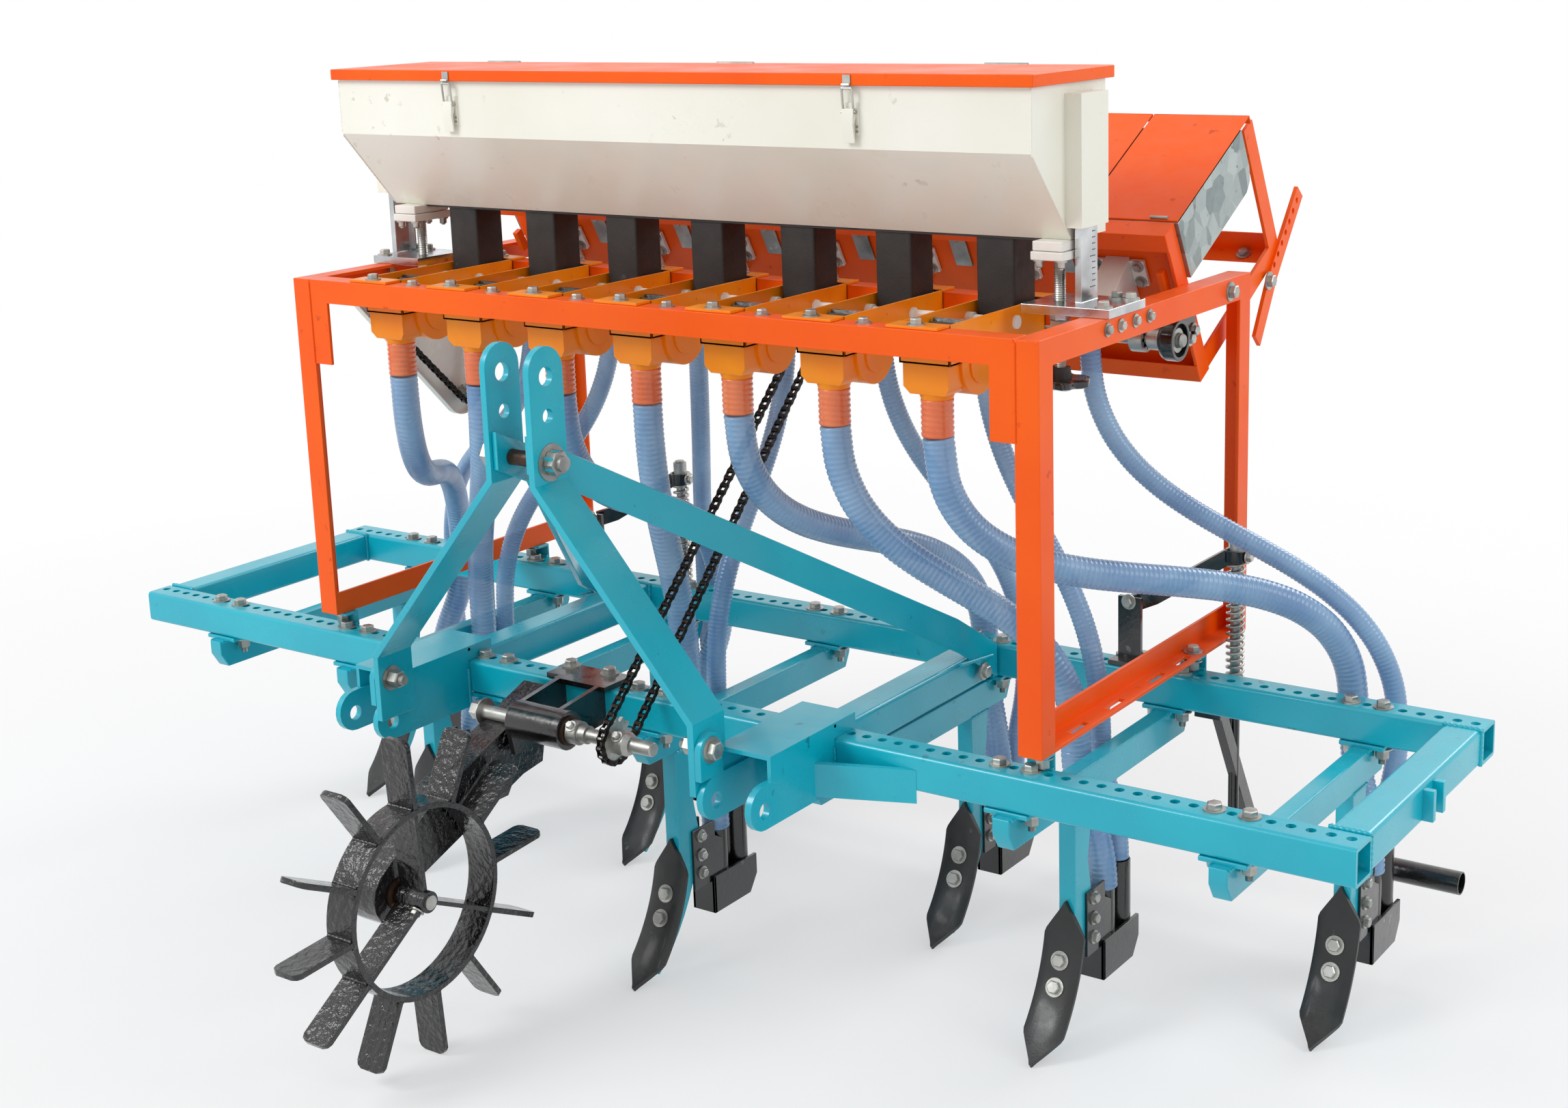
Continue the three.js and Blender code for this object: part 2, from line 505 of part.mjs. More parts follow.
const hopperU = faceU + SEAT;
const binOutline = (wall, top) => tilted([
  [hopperU + wall, HOPPER_DEPTH - wall], [HOPPER_LENGTH - 24 - wall / 2, HOPPER_DEPTH - wall],
  [HOPPER_LENGTH - 7 - wall, HOPPER_DEPTH - 9 - wall], [HOPPER_LENGTH - wall, HOPPER_DEPTH - 28 - wall / 2],
  [HOPPER_LENGTH - wall, top], [hopperU + wall, top],
]);
addSolid("planter_hoppers", cut(
  prismX(binOutline(0, 1), BIN_SEAMS[0], BIN_SEAMS[ROWS]),
  ...each(ROWS, (k, i) => prismX(binOutline(BIN_WALL, -1),
    BIN_SEAMS[i] + BIN_WALL / 2, BIN_SEAMS[i + 1] - BIN_WALL / 2))), galvanised);
addSolid("planter_lids", join(
  ...each(ROWS, (k, i) => slab(BIN_SEAMS[i] + 1, BIN_SEAMS[i + 1] - 1, 18, 284, 0.7 - LID_SHEET, 0.7)),
  slab(BIN_SEAMS[0] + 1, BIN_SEAMS[ROWS] - 1, 282, 284, 0.7 - LID_SHEET, 12)), orange);

// ---- shafts, chains and guard ----
const sprocket = (radius, x0, x1, y, z) => rodX(radius, x0, x1, y, z, 28);
addSolid("meter_shaft", join(
  rodX(SHAFT_RADIUS, -outer - 34, PLANTER_HALF + 27, 0, 0),
  sprocket(18, DRIVE_CHAIN_X - 5, DRIVE_CHAIN_X + 5, 0, 0),
  sprocket(18, -outer - 30, -outer - 20, 0, 0),
  ...each(ROWS, (k) => rodX(16, k * PLANTER_PITCH + 56, k * PLANTER_PITCH + 70, 0, 0, 12))), zinc, 0, METER_Y, METER_Z);

// The outline of a belt run round wheels [y, z, radius] taken counter-clockwise seen from +X.
const beltOutline = (wheels, grow) => wheels.flatMap(([y, z, radius], i) => {
  const count = wheels.length;
  const turn = (from, to) => {
    const angle = Math.atan2(to[1] - from[1], to[0] - from[0]);
    return angle - Math.PI / 2 + Math.asin((from[2] - to[2]) / Math.hypot(to[0] - from[0], to[1] - from[1]));
  };
  const start = turn(wheels[(i + count - 1) % count], wheels[i]);
  let end = turn(wheels[i], wheels[(i + 1) % count]);
  while (end < start) end += 2 * Math.PI;
  return Array.from({ length: 13 }, (_, s) => {
    const angle = start + ((end - start) * s) / 12;
    return [y + (radius + grow) * Math.cos(angle), z + (radius + grow) * Math.sin(angle)];
  });
});
const belt = (wheels, x0, x1) => prismX(beltOutline(wheels, 4), x0, x1, beltOutline(wheels, -4));
addSolid("drive_chain", belt([[DRIVE_Y, DRIVE_Z, 31], [METER_Y, METER_Z, 23]], DRIVE_CHAIN_X - 7, DRIVE_CHAIN_X + 7), black);

const crossFront = [JACK_Y - 34, STAND_TOP - 46, 21];
const crossFoot = [398, STAND_TOP - 250, 19];
const crossTop = [METER_Y, METER_Z, 23];
const crossX = -outer - 25;
const guardX = -outer - 52;
addSolid("chain_guard", join(
  prismX(beltOutline([
    [crossFoot[0], crossFoot[1], 40], [crossTop[0] + 4, crossTop[1], 46], [crossFront[0] + 4, crossFront[1], 34],
  ], 0), guardX, guardX + 3),
  belt([crossFoot, crossTop, crossFront], crossX - 6, crossX + 6),
  rodX(crossFront[2] - 1, guardX + 2, crossX + 6, crossFront[0], crossFront[1], 14),
  rodX(crossFoot[2] - 1, guardX + 2, crossX + 6, crossFoot[0], crossFoot[1], 14),
  box(guardX + 2, -outer - SEAT, 300, 330, STAND_TOP - 23, STAND_TOP - 19),
  rodX(7, crossX, CUP_X - (ROWS - 1) / 2 * CUP_PITCH - CUP_HALF - SEAT, crossFront[0], crossFront[1], 12)), cream);

// ---- ground wheel on its swinging arm ----
addSolid("wheel_bracket", cut(
  join(
    box(-168, -48, 0, TUBE, FRAME_TOP + SEAT, FRAME_TOP + 8),
    box(-144, -48, -12, 1, FRAME_TOP + SEAT, FRAME_TOP + 8),
    prismX([
      [-SEAT, FRAME_TOP + 8], [-SEAT, FRAME_TOP - 76], [DRIVE_Y - 18, FRAME_TOP - 76], [DRIVE_Y - 28, DRIVE_Z],
      [DRIVE_Y - 14, DRIVE_Z + 24], [-12, FRAME_TOP + 8],
    ], -140, -132),
    prismX([
      [-SEAT, FRAME_TOP + 8], [-SEAT, DRIVE_Z - 20], [DRIVE_Y, DRIVE_Z - 28], [DRIVE_Y - 26, DRIVE_Z],
      [DRIVE_Y - 10, DRIVE_Z + 26], [-12, FRAME_TOP + 8],
    ], -66, -58),
    rodX(28, -140, -44, DRIVE_Y, DRIVE_Z, 20)),
  rodX(SHAFT_BORE, -150, -40, DRIVE_Y, DRIVE_Z, 24)), black);

const armRight = WHEEL_X - WHEEL_WIDTH / 2 - 6;
const armLeft = armRight - 50;
const wheelDY = WHEEL_Y - DRIVE_Y;
const wheelDZ = WHEEL_Z - DRIVE_Z;
const hubArc = (radius) => Array.from({ length: 9 }, (_, i) => {
  const angle = THREE.MathUtils.degToRad(112 + i * 21.5);
  return [wheelDY + radius * Math.cos(angle), wheelDZ + radius * Math.sin(angle)];
});
addSolid("wheel_arm", cut(
  prismX([[80, 24], [-160, -66], ...hubArc(45), [wheelDY + 44, wheelDZ + 8], [14, -90], [56, -84]],
    armLeft, armRight),
  cut(prismX([[76, 17], [-158, -71], ...hubArc(45 - ARM_WALL), [wheelDY + 60, wheelDZ - 20], [14, -110],
    [53, -110]], armLeft + ARM_WALL, armRight - ARM_WALL),
    rodX(20, armLeft, armRight, 0, 0), rodX(20, armLeft, armRight, wheelDY, wheelDZ)),
  rodX(SHAFT_BORE, armLeft - 1, armRight + 1, 0, 0, 24),
  rodX(SHAFT_BORE, armLeft - 1, armRight + 1, wheelDY, wheelDZ, 24)), black, 0, DRIVE_Y, DRIVE_Z);

const lugLength = WHEEL_Z - WHEEL_RIM;
const half = WHEEL_WIDTH / 2;
const ring = rodX(WHEEL_RIM, -half, half, 0, 0, 36).subtract(rodX(WHEEL_RIM - RIM_THICK, -half - 1, half + 1, 0, 0, 36));
const spoke = (i) => box(-half, half, -4, 4, WHEEL_RIM - 2, WHEEL_RIM + lugLength).rotate([3.5 + (i * 360) / LUG_COUNT, 0, 0]);
const arm = (i) => box(-half + 1, half - 1, -3, 3, 8, WHEEL_RIM - 3).rotate([3.5 + i * 120, 0, 0]);
addSolid("ground_wheel", join(
  ring,
  ...Array.from({ length: LUG_COUNT }, (_, i) => spoke(i)), ...[0, 1, 2].map(arm),
  rodX(15, -half, half + 4, 0, 0),
  rodX(SHAFT_RADIUS, armLeft - WHEEL_X - 14, -half + 1, 0, 0),
  rodX(16, armLeft - WHEEL_X - 12, armLeft - WHEEL_X - 6, 0, 0, 6)), black, WHEEL_X, WHEEL_Y, WHEEL_Z);

addSolid("drive_shaft", join(
  rodX(SHAFT_RADIUS, armLeft - 14, 108, 0, 0),
  rodX(16, armLeft - 12, armLeft - 6, 0, 0, 6),
  rodX(17, -38, -22, 0, 0),
  sprocket(26, DRIVE_CHAIN_X - 5, DRIVE_CHAIN_X + 5, 0, 0),
  rodX(17, DRIVE_CHAIN_X + 5, DRIVE_CHAIN_X + 32, 0, 0)), zinc, 0, DRIVE_Y, DRIVE_Z);

// ---- rear leveller bar with two spring units ----
addSolid("leveller_bar", cut(
  rodX(LEVELLER_TUBE, -LEVELLER_HALF, LEVELLER_HALF, LEVELLER_Y, LEVELLER_Z, 20),
  rodX(LEVELLER_TUBE - LEVELLER_WALL, -LEVELLER_HALF - 1, LEVELLER_HALF + 1, LEVELLER_Y, LEVELLER_Z, 20)), black);
const levellerPad = tubeBottom - SEAT;
const levellerRodY = LEVELLER_Y - 68;
const levellerPostX = -130;
const levellerLink = join(
  box(-20, 20, FRAME_DEPTH - TUBE + 8, FRAME_DEPTH + 6, levellerPad - 8, levellerPad),
  prismX([
    [FRAME_DEPTH - 18, levellerPad - 4], [FRAME_DEPTH + 6, levellerPad - 4],
    [LEVELLER_Y + 14, LEVELLER_Z + LEVELLER_TUBE + SEAT], [LEVELLER_Y - 14, LEVELLER_Z + LEVELLER_TUBE + SEAT],
  ], -7, 7),
  rodZ(8, LEVELLER_Z + 60, FRAME_TOP + 190, 0, levellerRodY, 12),
  rodZ(14, tubeBottom - 30, FRAME_TOP + 150, 0, levellerRodY, 12),
  flatBar([[levellerPostX, FRAME_DEPTH - 20, FRAME_TOP + 88], [levellerPostX + 28, FRAME_DEPTH + 6, FRAME_TOP + 98],
    [0, levellerRodY, FRAME_TOP + 165]], 10, 26),
  box(levellerPostX - 18, levellerPostX + 18, FRAME_DEPTH - 29, FRAME_DEPTH - 21, FRAME_TOP + 4, FRAME_TOP + 100),
  box(levellerPostX - 12, levellerPostX + 12, FRAME_DEPTH - 23, FRAME_DEPTH - 14, FRAME_TOP + 78, FRAME_TOP + 98),
  box(levellerPostX - 25, levellerPostX + 25, FRAME_DEPTH - TUBE + 2, FRAME_DEPTH - 2, FRAME_TOP + SEAT,
    FRAME_TOP + 7));
addSolid("leveller_link_left", levellerLink, black, -348);
addSolid("leveller_link_right", levellerLink, black, outer + 18);

// ---- tines: underslung arm, curved leg, pointed shovel and twin-pipe boot ----
const shovelTop = (SHOVEL_RADIUS + 8) * Math.sin(THREE.MathUtils.degToRad(55));
const arcPoint = (radius, degrees) => {
  const angle = THREE.MathUtils.degToRad(degrees);
  return [-SHOVEL_RADIUS + radius * Math.cos(angle), shovelTop - radius * Math.sin(angle)];
};
const shovelBlade = loft([[0, 1], [11, 30], [22, 30], [33, 30], [44, 30], [55, 1]].map(([degrees, halfWidth]) => {
  const w = (halfWidth / 30) * (SHOVEL_WIDTH / 2);
  const [frontY, frontZ] = arcPoint(SHOVEL_RADIUS, degrees);
  const [backY, backZ] = arcPoint(SHOVEL_RADIUS + 8, degrees);
  return [[-w, frontY, frontZ], [w, frontY, frontZ], [w, backY, backZ], [-w, backY, backZ]];
}));
const armTop = tubeBottom - SEAT - PAD_THICK;
const legFront = [0, 12, 24, 36, 46].map((degrees) => arcPoint(SHOVEL_RADIUS + 7, degrees));
const legBack = [46, 34, 20, 0].map((degrees) => arcPoint(SHOVEL_RADIUS + 28 + (46 - degrees) * 0.6, degrees));
const legHalf = SHANK_THICK / 2;
const bootFrontY = 110;
const bootFrontZ = 180;
const bootRearY = 158;
const bootRearZ = 204;
const boot = cut(
  join(
    ...[-legHalf - 4, legHalf - 0.5].map((x) => prismX([
      [34, 108], [bootFrontY - 6, 108], [bootFrontY - 6, 168], [86, 178], [86, 202], [34, 202]], x, x + 4.5)),
    rodZ(BOOT_PIPE, 96, bootFrontZ, 0, bootFrontY, 12), rodZ(BOOT_PIPE, 96, bootRearZ, 0, bootRearY, 12),
    ...[-21, 16].map((x) => prismX([[74, 58], [74, 116], [bootRearY + 22, 116], [bootRearY + 22, 84],
      [bootRearY + 4, 58]], x, x + 5)),
    box(-21, 21, 74, 79, 58, 116)),
  rodZ(BOOT_PIPE - BOOT_WALL, 95, bootFrontZ + 1, 0, bootFrontY, 12),
  rodZ(BOOT_PIPE - BOOT_WALL, 95, bootRearZ + 1, 0, bootRearY, 12));
const tine = (bladeY) => join(
  shovelBlade,
  prismX([...legFront, ...legBack, [56, armTop - ARM_DEPTH + 2], [7, armTop - ARM_DEPTH + 2]], -legHalf, legHalf),
  boot,
  prismX([
    [-bladeY - 12, armTop], [-bladeY - 12, armTop - 22], [-bladeY + 2, armTop - ARM_DEPTH],
    [FRAME_DEPTH - bladeY, armTop - ARM_DEPTH], [FRAME_DEPTH + 12 - bladeY, armTop - 22],
    [FRAME_DEPTH + 12 - bladeY, armTop],
  ], -legHalf, legHalf),
  ...[0, FRAME_DEPTH - TUBE].map((y) => box(-32, 32, y - bladeY, y - bladeY + TUBE, armTop - 1, armTop + PAD_THICK)));
const bladeRows = [BLADE_REAR, BLADE_MIDDLE, BLADE_REAR, BLADE_FRONT, BLADE_REAR, BLADE_MIDDLE, BLADE_REAR];
const tineGeometry = new Map([BLADE_REAR, BLADE_MIDDLE, BLADE_FRONT].map((y) => [y, geometryOf(tine(y))]));
const rowX = (k) => ROW_CENTRE + k * ROW_PITCH;
each(ROWS, (k, i) => addPart(`tine_${i + 1}`, tineGeometry.get(bladeRows[i]), teal, rowX(k), bladeRows[i]));

// ---- hoses: one from each seed cup and one from each planter funnel, down to the boots ----
// A hose hangs straight down at each of its knots and curves freely between them.
const hose = (radius, knots) => {
  const path = new THREE.CurvePath();
  for (let i = 0; i + 1 < knots.length; i++) {
    const [from, to] = [new THREE.Vector3(...knots[i]), new THREE.Vector3(...knots[i + 1])];
    const drop = new THREE.Vector3(0, 0, HOSE_EASE * from.distanceTo(to));
    path.add(new THREE.CubicBezierCurve3(from, from.clone().sub(drop), to.clone().add(drop), to));
  }
  const circle = (r) => Array.from({ length: 10 }, (_, i) => [
    r * Math.cos((i * Math.PI) / 5), r * Math.sin((i * Math.PI) / 5)]);
  const steps = Math.round(path.getLength() / (radius * 4.2));
  return new THREE.ExtrudeGeometry(shapeOf(circle(radius), circle(radius - HOSE_WALL)),
    { steps, bevelEnabled: false, extrudePath: path });
};
const spigotEnd = cupFloor - 98 - SEAT;
const funnelEnd = STAND_TOP - 76 - SEAT;
each(ROWS, (k, i) => {
  const x = rowX(k);
  const side = Math.sign(k) || 1;
  const cupX = CUP_X + k * CUP_PITCH;
  const funnelX = k * PLANTER_PITCH;
  const funnelY = funnelFront + 15;
  const frontY = bladeRows[i] + bootFrontY;
  const rearY = bladeRows[i] + bootRearY;
  const behindFrame = bladeRows[i] === BLADE_REAR;
  addPart(`seed_hose_${i + 1}`, hose(FRONT_HOSE_RADIUS, [
    [cupX, SPIGOT_Y, spigotEnd],
    behindFrame ? [x - side * 40, FRAME_DEPTH + 28, 400] : [x - side * 41, frontY, 385],
    [x, frontY, bootFrontZ + SEAT],
  ]), hosePlastic);
  addPart(`planter_hose_${i + 1}`, hose(REAR_HOSE_RADIUS, [
    [funnelX, funnelY, funnelEnd],
    behindFrame ? [x + side * 14, rearY + 10, 370] : [x - side * 34, rearY + 12, 385],
    [x, rearY, bootRearZ + SEAT],
  ]), hosePlastic);
});

// The row's origin is the middle of the overall box, on the ground.
const span = new THREE.Box3().setFromObject(drill);
drill.position.set(-(span.min.x + span.max.x) / 2, -(span.min.y + span.max.y) / 2, -span.min.z);

export default drill;
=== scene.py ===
import math
import random

import bmesh
import bpy
from mathutils import Matrix, Vector


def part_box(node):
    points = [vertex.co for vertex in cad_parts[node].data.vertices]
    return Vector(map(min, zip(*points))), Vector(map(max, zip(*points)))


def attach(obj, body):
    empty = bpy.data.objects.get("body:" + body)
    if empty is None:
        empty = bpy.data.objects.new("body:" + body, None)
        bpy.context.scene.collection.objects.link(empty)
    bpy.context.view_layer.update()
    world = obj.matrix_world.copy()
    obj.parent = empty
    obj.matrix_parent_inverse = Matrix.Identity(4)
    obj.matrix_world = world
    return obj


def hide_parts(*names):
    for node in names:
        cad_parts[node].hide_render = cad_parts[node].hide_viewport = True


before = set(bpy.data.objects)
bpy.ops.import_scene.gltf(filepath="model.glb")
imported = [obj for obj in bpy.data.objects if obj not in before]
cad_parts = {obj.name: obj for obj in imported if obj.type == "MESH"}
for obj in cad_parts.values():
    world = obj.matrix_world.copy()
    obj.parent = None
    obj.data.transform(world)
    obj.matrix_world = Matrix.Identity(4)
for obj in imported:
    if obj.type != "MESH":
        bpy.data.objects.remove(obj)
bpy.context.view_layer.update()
scene = bpy.context.scene

# ---- camera ----
# A standing person's view of the drill from in front of its right-hand end, looking slightly down.
# The short sideways and upward shift frames the whole machine.
CAMERA_PLACE = (1.894, -2.382, 1.448)
camera_turn, camera_rise, camera_roll = 0.601, 0.2253, -0.0288
lens_back = Vector((math.sin(camera_turn) * math.cos(camera_rise),
                    -math.cos(camera_turn) * math.cos(camera_rise), math.sin(camera_rise)))
level_right = (-lens_back).cross(Vector((0, 0, 1))).normalized()
level_up = level_right.cross(-lens_back)
lens_right = math.cos(camera_roll) * level_right + math.sin(camera_roll) * level_up
lens_up = math.cos(camera_roll) * level_up - math.sin(camera_roll) * level_right
camera_data = bpy.data.cameras.new("camera")
camera_data.lens = 49.46
camera_data.sensor_width = 36
camera_data.shift_x = -0.040
camera_data.shift_y = -0.066
camera = bpy.data.objects.new("camera", camera_data)
camera.matrix_world = Matrix.Translation(CAMERA_PLACE) @ Matrix(
    (lens_right, lens_up, lens_back)).transposed().to_4x4()
scene.collection.objects.link(camera)
scene.camera = camera

# ---- hoses ----
# Fourteen ribbed clear-blue PVC hoses carry seed from the cups and the planter funnels to the boots.
# Each is pushed over a spigot at the top, hangs in one S-curve and stands on its boot pipe.
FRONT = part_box("front_beam")[0].y * 1000
ROWS = range(-3, 4)
ROW_PITCH, ROW_CENTRE = 298, 5
CUP_PITCH, CUP_X, SPIGOT_Y, SPIGOT_END = 160, -15, 75, 844.7
FUNNEL_PITCH, FUNNEL_Y, FUNNEL_END = 172, 393, 916.7
BLADE_ROWS = {-3: 387, -2: 156, -1: 387, 0: 52, 1: 387, 2: 156, 3: 387}
BOOT_FRONT, BOOT_REAR = 110, 158
HOSE_EASE = 0.45


def at(x, y, z):
    """A place in millimetres: right of the middle, behind the front beam's face, above the ground."""
    return Vector((x / 1000, (y + FRONT) / 1000, z / 1000))


def across(axis):
    """Two directions square to an axis and to each other."""
    axis = Vector(axis).normalized()
    side = axis.cross(Vector((0, 0, 1)) if abs(axis.z) < 0.9 else Vector((0, 1, 0))).normalized()
    return side, axis.cross(side)


def ring(centre, axis, radius, sides, phase=0.0):
    side, up = across(axis)
    angles = [phase + 2 * math.pi * i / sides for i in range(sides)]
    return [Vector(centre) + radius * (side * math.cos(a) + up * math.sin(a)) for a in angles]


def skin(shape, rings, closed=False):
    """Faces through equal-sized rings of points, with flat ends unless the rings close on themselves."""
    loops = [[shape.verts.new(point) for point in points] for points in rings]
    pairs = list(zip(loops, loops[1:]))
    if closed:
        pairs.append((loops[-1], loops[0]))
    else:
        shape.faces.new(loops[0][::-1])
        shape.faces.new(loops[-1])
    count = len(loops[0])
    for near, far in pairs:
        for i in range(count):
            j = (i + 1) % count
            shape.faces.new((near[i], near[j], far[j], far[i]))


def piece(name, shape, finish, body, edge=0.0, in_metres=False, sharp=35):
    """A finished piece of the drill: places its mesh, rounds its edges and sets it on its body."""
    if not in_metres:
        for vert in shape.verts:
            vert.co = at(*vert.co)
    bmesh.ops.recalc_face_normals(shape, faces=shape.faces)
    for face in shape.faces:
        face.smooth = True
    for joint in shape.edges:
        if len(joint.link_faces) == 2:
            joint.smooth = bool(edge) or joint.calc_face_angle(0) < math.radians(sharp)
    mesh = bpy.data.meshes.new(name)
    shape.to_mesh(mesh)
    shape.free()
    made = bpy.data.objects.new(name, mesh)
    scene.collection.objects.link(made)
    mesh.materials.append(finish)
    if edge:
        bevel = made.modifiers.new("edge", "BEVEL")
        bevel.width = edge / 1000
        bevel.segments = 2
        bevel.limit_method = "ANGLE"
        bevel.angle_limit = math.radians(40)
        bevel.use_clamp_overlap = True
    weighted = made.modifiers.new("shading", "WEIGHTED_NORMAL")
    weighted.keep_sharp = True
    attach(made, body)
    return made


def tone(red, green, blue):
    """A colour as it is seen, 0 to 255, turned into the shader's own scale."""
    return [((c / 255 + 0.055) / 1.055) ** 2.4 if c > 10 else c / 3295 for c in (red, green, blue)] + [1.0]


def surface(name, dark, light, rough, grain, bump, patch=5.0, metal=0.0, coat=0.0, dust=0.0, scuff=None,
            alpha=1.0):
    """A finish drifting between two tones, with uneven gloss, a fine grain, settled dust and small scuffs."""
    finish = bpy.data.materials.new(name)
    finish.use_nodes = True
    nodes, links = finish.node_tree.nodes, finish.node_tree.links
    shader = nodes["Principled BSDF"]
    shader.inputs["Metallic"].default_value = metal
    shader.inputs["Coat Weight"].default_value = coat
    shader.inputs["Coat Roughness"].default_value = 0.12
    shader.inputs["Alpha"].default_value = alpha
    place = nodes.new("ShaderNodeTexCoord").outputs["Object"]
    normal = nodes.new("ShaderNodeNewGeometry")

    def noise(scale, detail=5):
        cloud = nodes.new("ShaderNodeTexNoise")
        cloud.inputs["Scale"].default_value = scale
        cloud.inputs["Detail"].default_value = detail
        links.new(place, cloud.inputs["Vector"])
        return cloud.outputs["Fac"]

    def between(value, low, high, out_low, out_high):
        span = nodes.new("ShaderNodeMapRange")
        for socket, number in zip(span.inputs[1:5], (low, high, out_low, out_high)):
            socket.default_value = number
        links.new(value, span.inputs[0])
        return span.outputs[0]

    def times(one, other):
        product = nodes.new("ShaderNodeMath")
        product.operation = "MULTIPLY"
        links.new(one, product.inputs[0])
        links.new(other, product.inputs[1])
        return product.outputs[0]

    def over(colour, amount, top):
        blend = nodes.new("ShaderNodeMix")
        blend.data_type = "RGBA"
        links.new(amount, blend.inputs["Factor"])
        links.new(colour, blend.inputs[6])
        blend.inputs[7].default_value = top
        return blend.outputs[2]

    tones = nodes.new("ShaderNodeValToRGB")
    tones.color_ramp.elements[0].position, tones.color_ramp.elements[1].position = 0.32, 0.68
    tones.color_ramp.elements[0].color, tones.color_ramp.elements[1].color = dark, light
    links.new(noise(patch), tones.inputs["Fac"])
    colour = tones.outputs["Color"]
    if dust:
        split = nodes.new("ShaderNodeSeparateXYZ")
        links.new(normal.outputs["Normal"], split.inputs[0])
        upward = between(split.outputs["Z"], 0.6, 1.0, 0.0, dust)
        colour = over(colour, times(upward, between(noise(40), 0.35, 0.75, 0.0, 1.0)), tone(196, 190, 178))
    if scuff:
        marks = times(between(noise(55, 8), 0.66, 0.7, 0.0, 1.0), between(noise(7), 0.5, 0.62, 0.0, 0.8))
        colour = over(colour, marks, scuff)
    links.new(colour, shader.inputs["Base Color"])
    links.new(between(noise(patch * 3), 0.3, 0.7, rough[0], rough[1]), shader.inputs["Roughness"])
    relief = nodes.new("ShaderNodeBump")
    relief.inputs["Strength"].default_value = bump
    relief.inputs["Distance"].default_value = 0.001
    links.new(noise(grain, 3), relief.inputs["Height"])
    links.new(relief.outputs["Normal"], shader.inputs["Normal"])
    return finish


def hanging(knots, steps=13):
    """A hose's line: straight down at each knot, and one smooth curve between them."""
    line = [Vector(knots[0])]
    for start, end in zip(knots, knots[1:]):
        start, end = Vector(start), Vector(end)
        drop = Vector((0, 0, HOSE_EASE * (end - start).length))
        lead, arrive = start - drop, end + drop
        for i in range(1, steps + 1):
            t = i / steps
            line.append((1 - t) ** 3 * start + 3 * (1 - t) ** 2 * t * lead
                        + 3 * (1 - t) * t ** 2 * arrive + t ** 3 * end)
    return line


def ribbed(shape, line, radius, pitch, groove, sides):
    """A tube along a line, with a rounded rib every pitch."""
    lengths = [0.0]
    for near, far in zip(line, line[1:]):
        lengths.append(lengths[-1] + (far - near).length)
    ribs = round(lengths[-1] / pitch)
    stations = [lengths[-1] * (i + part) / ribs for i in range(ribs) for part in (0.0, 0.3, 0.7)]
    radii = [radius - groove, radius, radius] * ribs
    side = Vector((1, 0, 0))
    rings, step = [], 0
    for place, size in zip(stations + [lengths[-1]], radii + [radius - groove]):
        while step < len(line) - 2 and place > lengths[step + 1]:
            step += 1
        before, after = line[max(step - 1, 0)], line[min(step + 2, len(line) - 1)]
        share = (place - lengths[step]) / (lengths[step + 1] - lengths[step])
        start, end = line[step], line[step + 1]
        lead = start + (end - before) / 6 * (step > 0)
        arrive = end - (after - start) / 6 * (step < len(line) - 2)
        if step == 0:
            lead = start.lerp(end, 1 / 3)
        if step == len(line) - 2:
            arrive = end.lerp(start, 1 / 3)
        rest = 1 - share
        centre = (rest ** 3 * start + 3 * rest ** 2 * share * lead
                  + 3 * rest * share ** 2 * arrive + share ** 3 * end)
        along = (rest ** 2 * (lead - start) + 2 * rest * share * (arrive - lead)
                 + share ** 2 * (end - arrive)).normalized()
        side = (side - along * side.dot(along)).normalized()
        up = along.cross(side)
        angles = [2 * math.pi * i / sides for i in range(sides)]
        rings.append([centre + size * (side * math.cos(a) + up * math.sin(a)) for a in angles])
    skin(shape, rings)
    return lengths[-1]


clear_hose = surface("clear_blue_hose", tone(104, 150, 198), tone(148, 190, 226), (0.16, 0.3), 900, 0.15,
                     patch=9, coat=0.5, alpha=0.8)
orange_cuff = surface("hose_over_orange_spigot", tone(232, 104, 52), tone(246, 138, 84), (0.2, 0.35), 900,
                      0.15, patch=14, coat=0.5, alpha=0.96)


def hose(name, radius, pitch, knots):
    line = hanging(knots)
    shape = bmesh.new()
    length = ribbed(shape, line, radius, pitch, radius * 0.07, 20)
    made = piece(f"ribbed_{name}", shape, clear_hose, "frame", sharp=80)
    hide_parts(name)


def row_x(k):
    return ROW_CENTRE + k * ROW_PITCH


SEED_HOSE, PLANTER_HOSE = 21, 15
for k in ROWS:
    blade, outward = BLADE_ROWS[k], 1 if k >= 0 else -1
    seed_boot, planter_boot = blade + BOOT_FRONT, blade + BOOT_REAR
    behind = blade == BLADE_ROWS[3]
    hose(f"seed_hose_{k + 4}", SEED_HOSE, 7.2, [
        (CUP_X + k * CUP_PITCH, SPIGOT_Y, SPIGOT_END),
        (row_x(k) - 40 * outward, 528, 400) if behind else (row_x(k) - 41 * outward, seed_boot, 385),
        (row_x(k), seed_boot, 180.3)])
    hose(f"planter_hose_{k + 4}", PLANTER_HOSE, 6.0, [
        (k * FUNNEL_PITCH, FUNNEL_Y, FUNNEL_END),
        (row_x(k) + 14 * outward, planter_boot + 10, 370) if behind
        else (row_x(k) - 34 * outward, planter_boot + 12, 385),
        (row_x(k), planter_boot, 204.3)])

